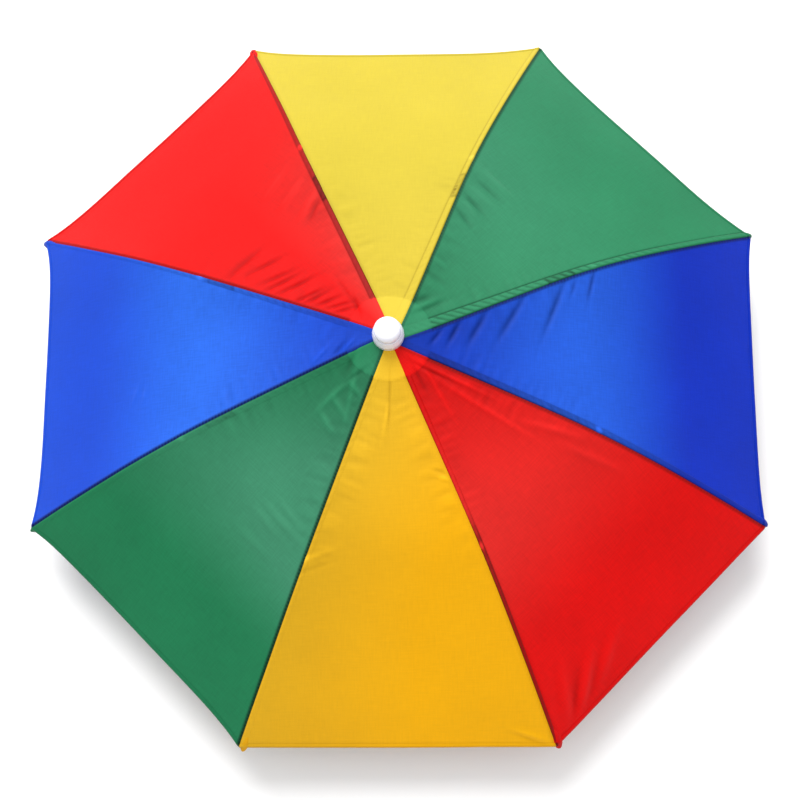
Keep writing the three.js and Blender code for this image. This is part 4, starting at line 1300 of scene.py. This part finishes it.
# %% Arms
BAND_RADIUS = 85 * MM
BAND_WALL = 2 * MM
BAND_HEIGHT = 25 * MM
ARM_WALL = 2.4 * MM
ARM_SHOULDER = 34 * MM
ARM_BEND_BOTTOM = 48 * MM
CLIP_OUTSIDE = 20 * MM
CLIP_INSIDE = 12 * MM
CLIP_CLEARANCE = 0.45 * MM
ARM_EDGE = 0.7 * MM
ARM_RINGS = 30


def rounded_section(wide, thick, edge, steps=4):
    """A rounded rectangle as points across and through the strip."""
    section = []
    for x, y, start in ((1, 1, 0), (-1, 1, 90), (-1, -1, 180), (1, -1, 270)):
        centre = (x * (wide / 2 - edge), y * (thick / 2 - edge))
        section += arc(centre, edge, start, start + 90, steps)
    return np.array(section)


def strip_along(path, angle, section):
    """Sweep a section along a path of radii and heights, in the upright plane at an angle."""
    path = np.array(path)
    tangent = np.gradient(path, axis=0)
    tangent /= np.linalg.norm(tangent, axis=-1, keepdims=True)
    normal = np.stack([-tangent[:, 1], tangent[:, 0]], -1)
    radial = path[:, None, 0] + normal[:, None, 0] * section[None, :, 1]
    height = path[:, None, 1] + normal[:, None, 1] * section[None, :, 1]
    sideways = np.broadcast_to(section[None, :, 0], radial.shape)
    x = CROWN[0] + radial * math.cos(angle) - sideways * math.sin(angle)
    y = CROWN[1] + radial * math.sin(angle) + sideways * math.cos(angle)
    return capped(np.stack([x, y, height], -1))


def arm_shapes(angle):
    middle = HEAD_ROOM + RUNNER_FLANGE / 2
    leg = BAND_RADIUS + CLIP_CLEARANCE + ARM_WALL / 2
    wide, high = leg - ARM_SHOULDER, middle - ARM_BEND_BOTTOM
    bend = [
        (ARM_SHOULDER + wide * math.sin(a), ARM_BEND_BOTTOM + high * math.cos(a))
        for a in np.linspace(0, TURN / 4, ARM_RINGS)
    ]
    foot = BAND_HEIGHT - CLIP_OUTSIDE
    start = WAIST_RADIUS + GAP
    outer = [(start, middle), (start + 0.4 * MM, middle)] + bend + [(leg, foot + 0.4 * MM), (leg, foot)]
    hook_leg = BAND_RADIUS - BAND_WALL - CLIP_CLEARANCE - ARM_WALL / 2
    bridge = BAND_HEIGHT + GAP + ARM_WALL / 2
    turn = 0.75 * ARM_WALL
    corner = arc((hook_leg + turn, bridge - turn), turn, 90, 180, 6)
    inner = [(leg, bridge)] + corner + [(hook_leg, BAND_HEIGHT - CLIP_INSIDE)]
    section = rounded_section(ARM_WIDTH, ARM_WALL, ARM_EDGE)
    return [strip_along(outer, angle, section), strip_along(inner, angle, section)]


for number, angle in enumerate(arm_angles, 1):
    arm = piece(f"strip_{number}", arm_shapes(angle), WHITE_PLASTIC)
    stands_for(arm, f"arm_{number}", "white_plastic")
print("arms:", ARMS)

# %% [markdown]
# ## Headband
#
# The band is woven elastic: upright cords of rubber side by side with yarn crossing over them. From a step
# away that is a fine corduroy with two plain edges. It is one ring, closed over its top and bottom edge.

# %% Headband
CORDS = 260
CORD_RISE = 0.16 * MM
PICK_PITCH = 0.9 * MM
BAND_SIDES = CORDS * 6
BAND_PROFILE = {
    "share": [0, 0.02, 0.06, 0.12, 0.5, 0.88, 0.94, 0.98, 1],
    "swell": [0.55, 0.8, 0.95, 1, 1, 1, 0.95, 0.8, 0.55],
}


def elastic_paint(sheet):
    place = sheet.rider("threads", 1)
    yarn = place.stretched(300, 2600, 1).grain(1.0)
    fluff = place.grain(900.0, 4.0)
    pick = (place.part(1) * (TURN / PICK_PITCH)).sine()
    return {
        "Base Color": (yarn * 0.6 + fluff * 0.4).blend((0.52, 0.52, 0.51, 1), (0.72, 0.72, 0.7, 1)),
        "Roughness": 0.85,
        "Specular IOR Level": 0.2,
        "height": pick * (0.05 * MM) + fluff * (0.08 * MM),
        "relief": 0.8,
    }


def band_ring():
    angle = np.arange(BAND_SIDES) * TURN / BAND_SIDES
    share = np.array(BAND_PROFILE["share"])
    heights = BAND_HEIGHT * share
    swell = np.array(BAND_PROFILE["swell"])
    middle = BAND_RADIUS - BAND_WALL / 2
    cord = CORD_RISE * (np.abs(np.sin(angle * CORDS / 2)) - 1)
    outside = middle + (BAND_WALL / 2 * swell)[:, None] + cord[None] * swell[:, None]
    inside = middle - (BAND_WALL / 2 * swell)[:, None] - cord[None] * swell[:, None]
    radii = np.concatenate([outside, inside[::-1]])
    z = np.concatenate([heights, heights[::-1]])
    x = CROWN[0] + radii * np.cos(angle)
    y = CROWN[1] + radii * np.sin(angle)
    points = np.stack([x, y, np.broadcast_to(z[:, None], radii.shape)], -1)
    around = np.broadcast_to(angle * BAND_RADIUS, radii.shape)
    return points, np.stack([around, points[..., 2], np.zeros_like(x)], -1)


points, threads = band_ring()
elastic = finish("ribbed_elastic", elastic_paint)
band = piece("elastic_ring", [grid_shape(points, wrap=True, closed=True)], elastic, threads=threads)
stands_for(band, "headband", "elastic")
print("band:", len(band.data.polygons), "faces")

# %% [markdown]
# ## Cloth sizes
#
# The flat sizes are those of the cut: a panel is measured row by row for its width, length and area. The
# patch is cut as a ring, and the band as long as it is round.

# %% Cloth sizes
for number, made in panels.items():
    width, length, area = panel_flat(number)
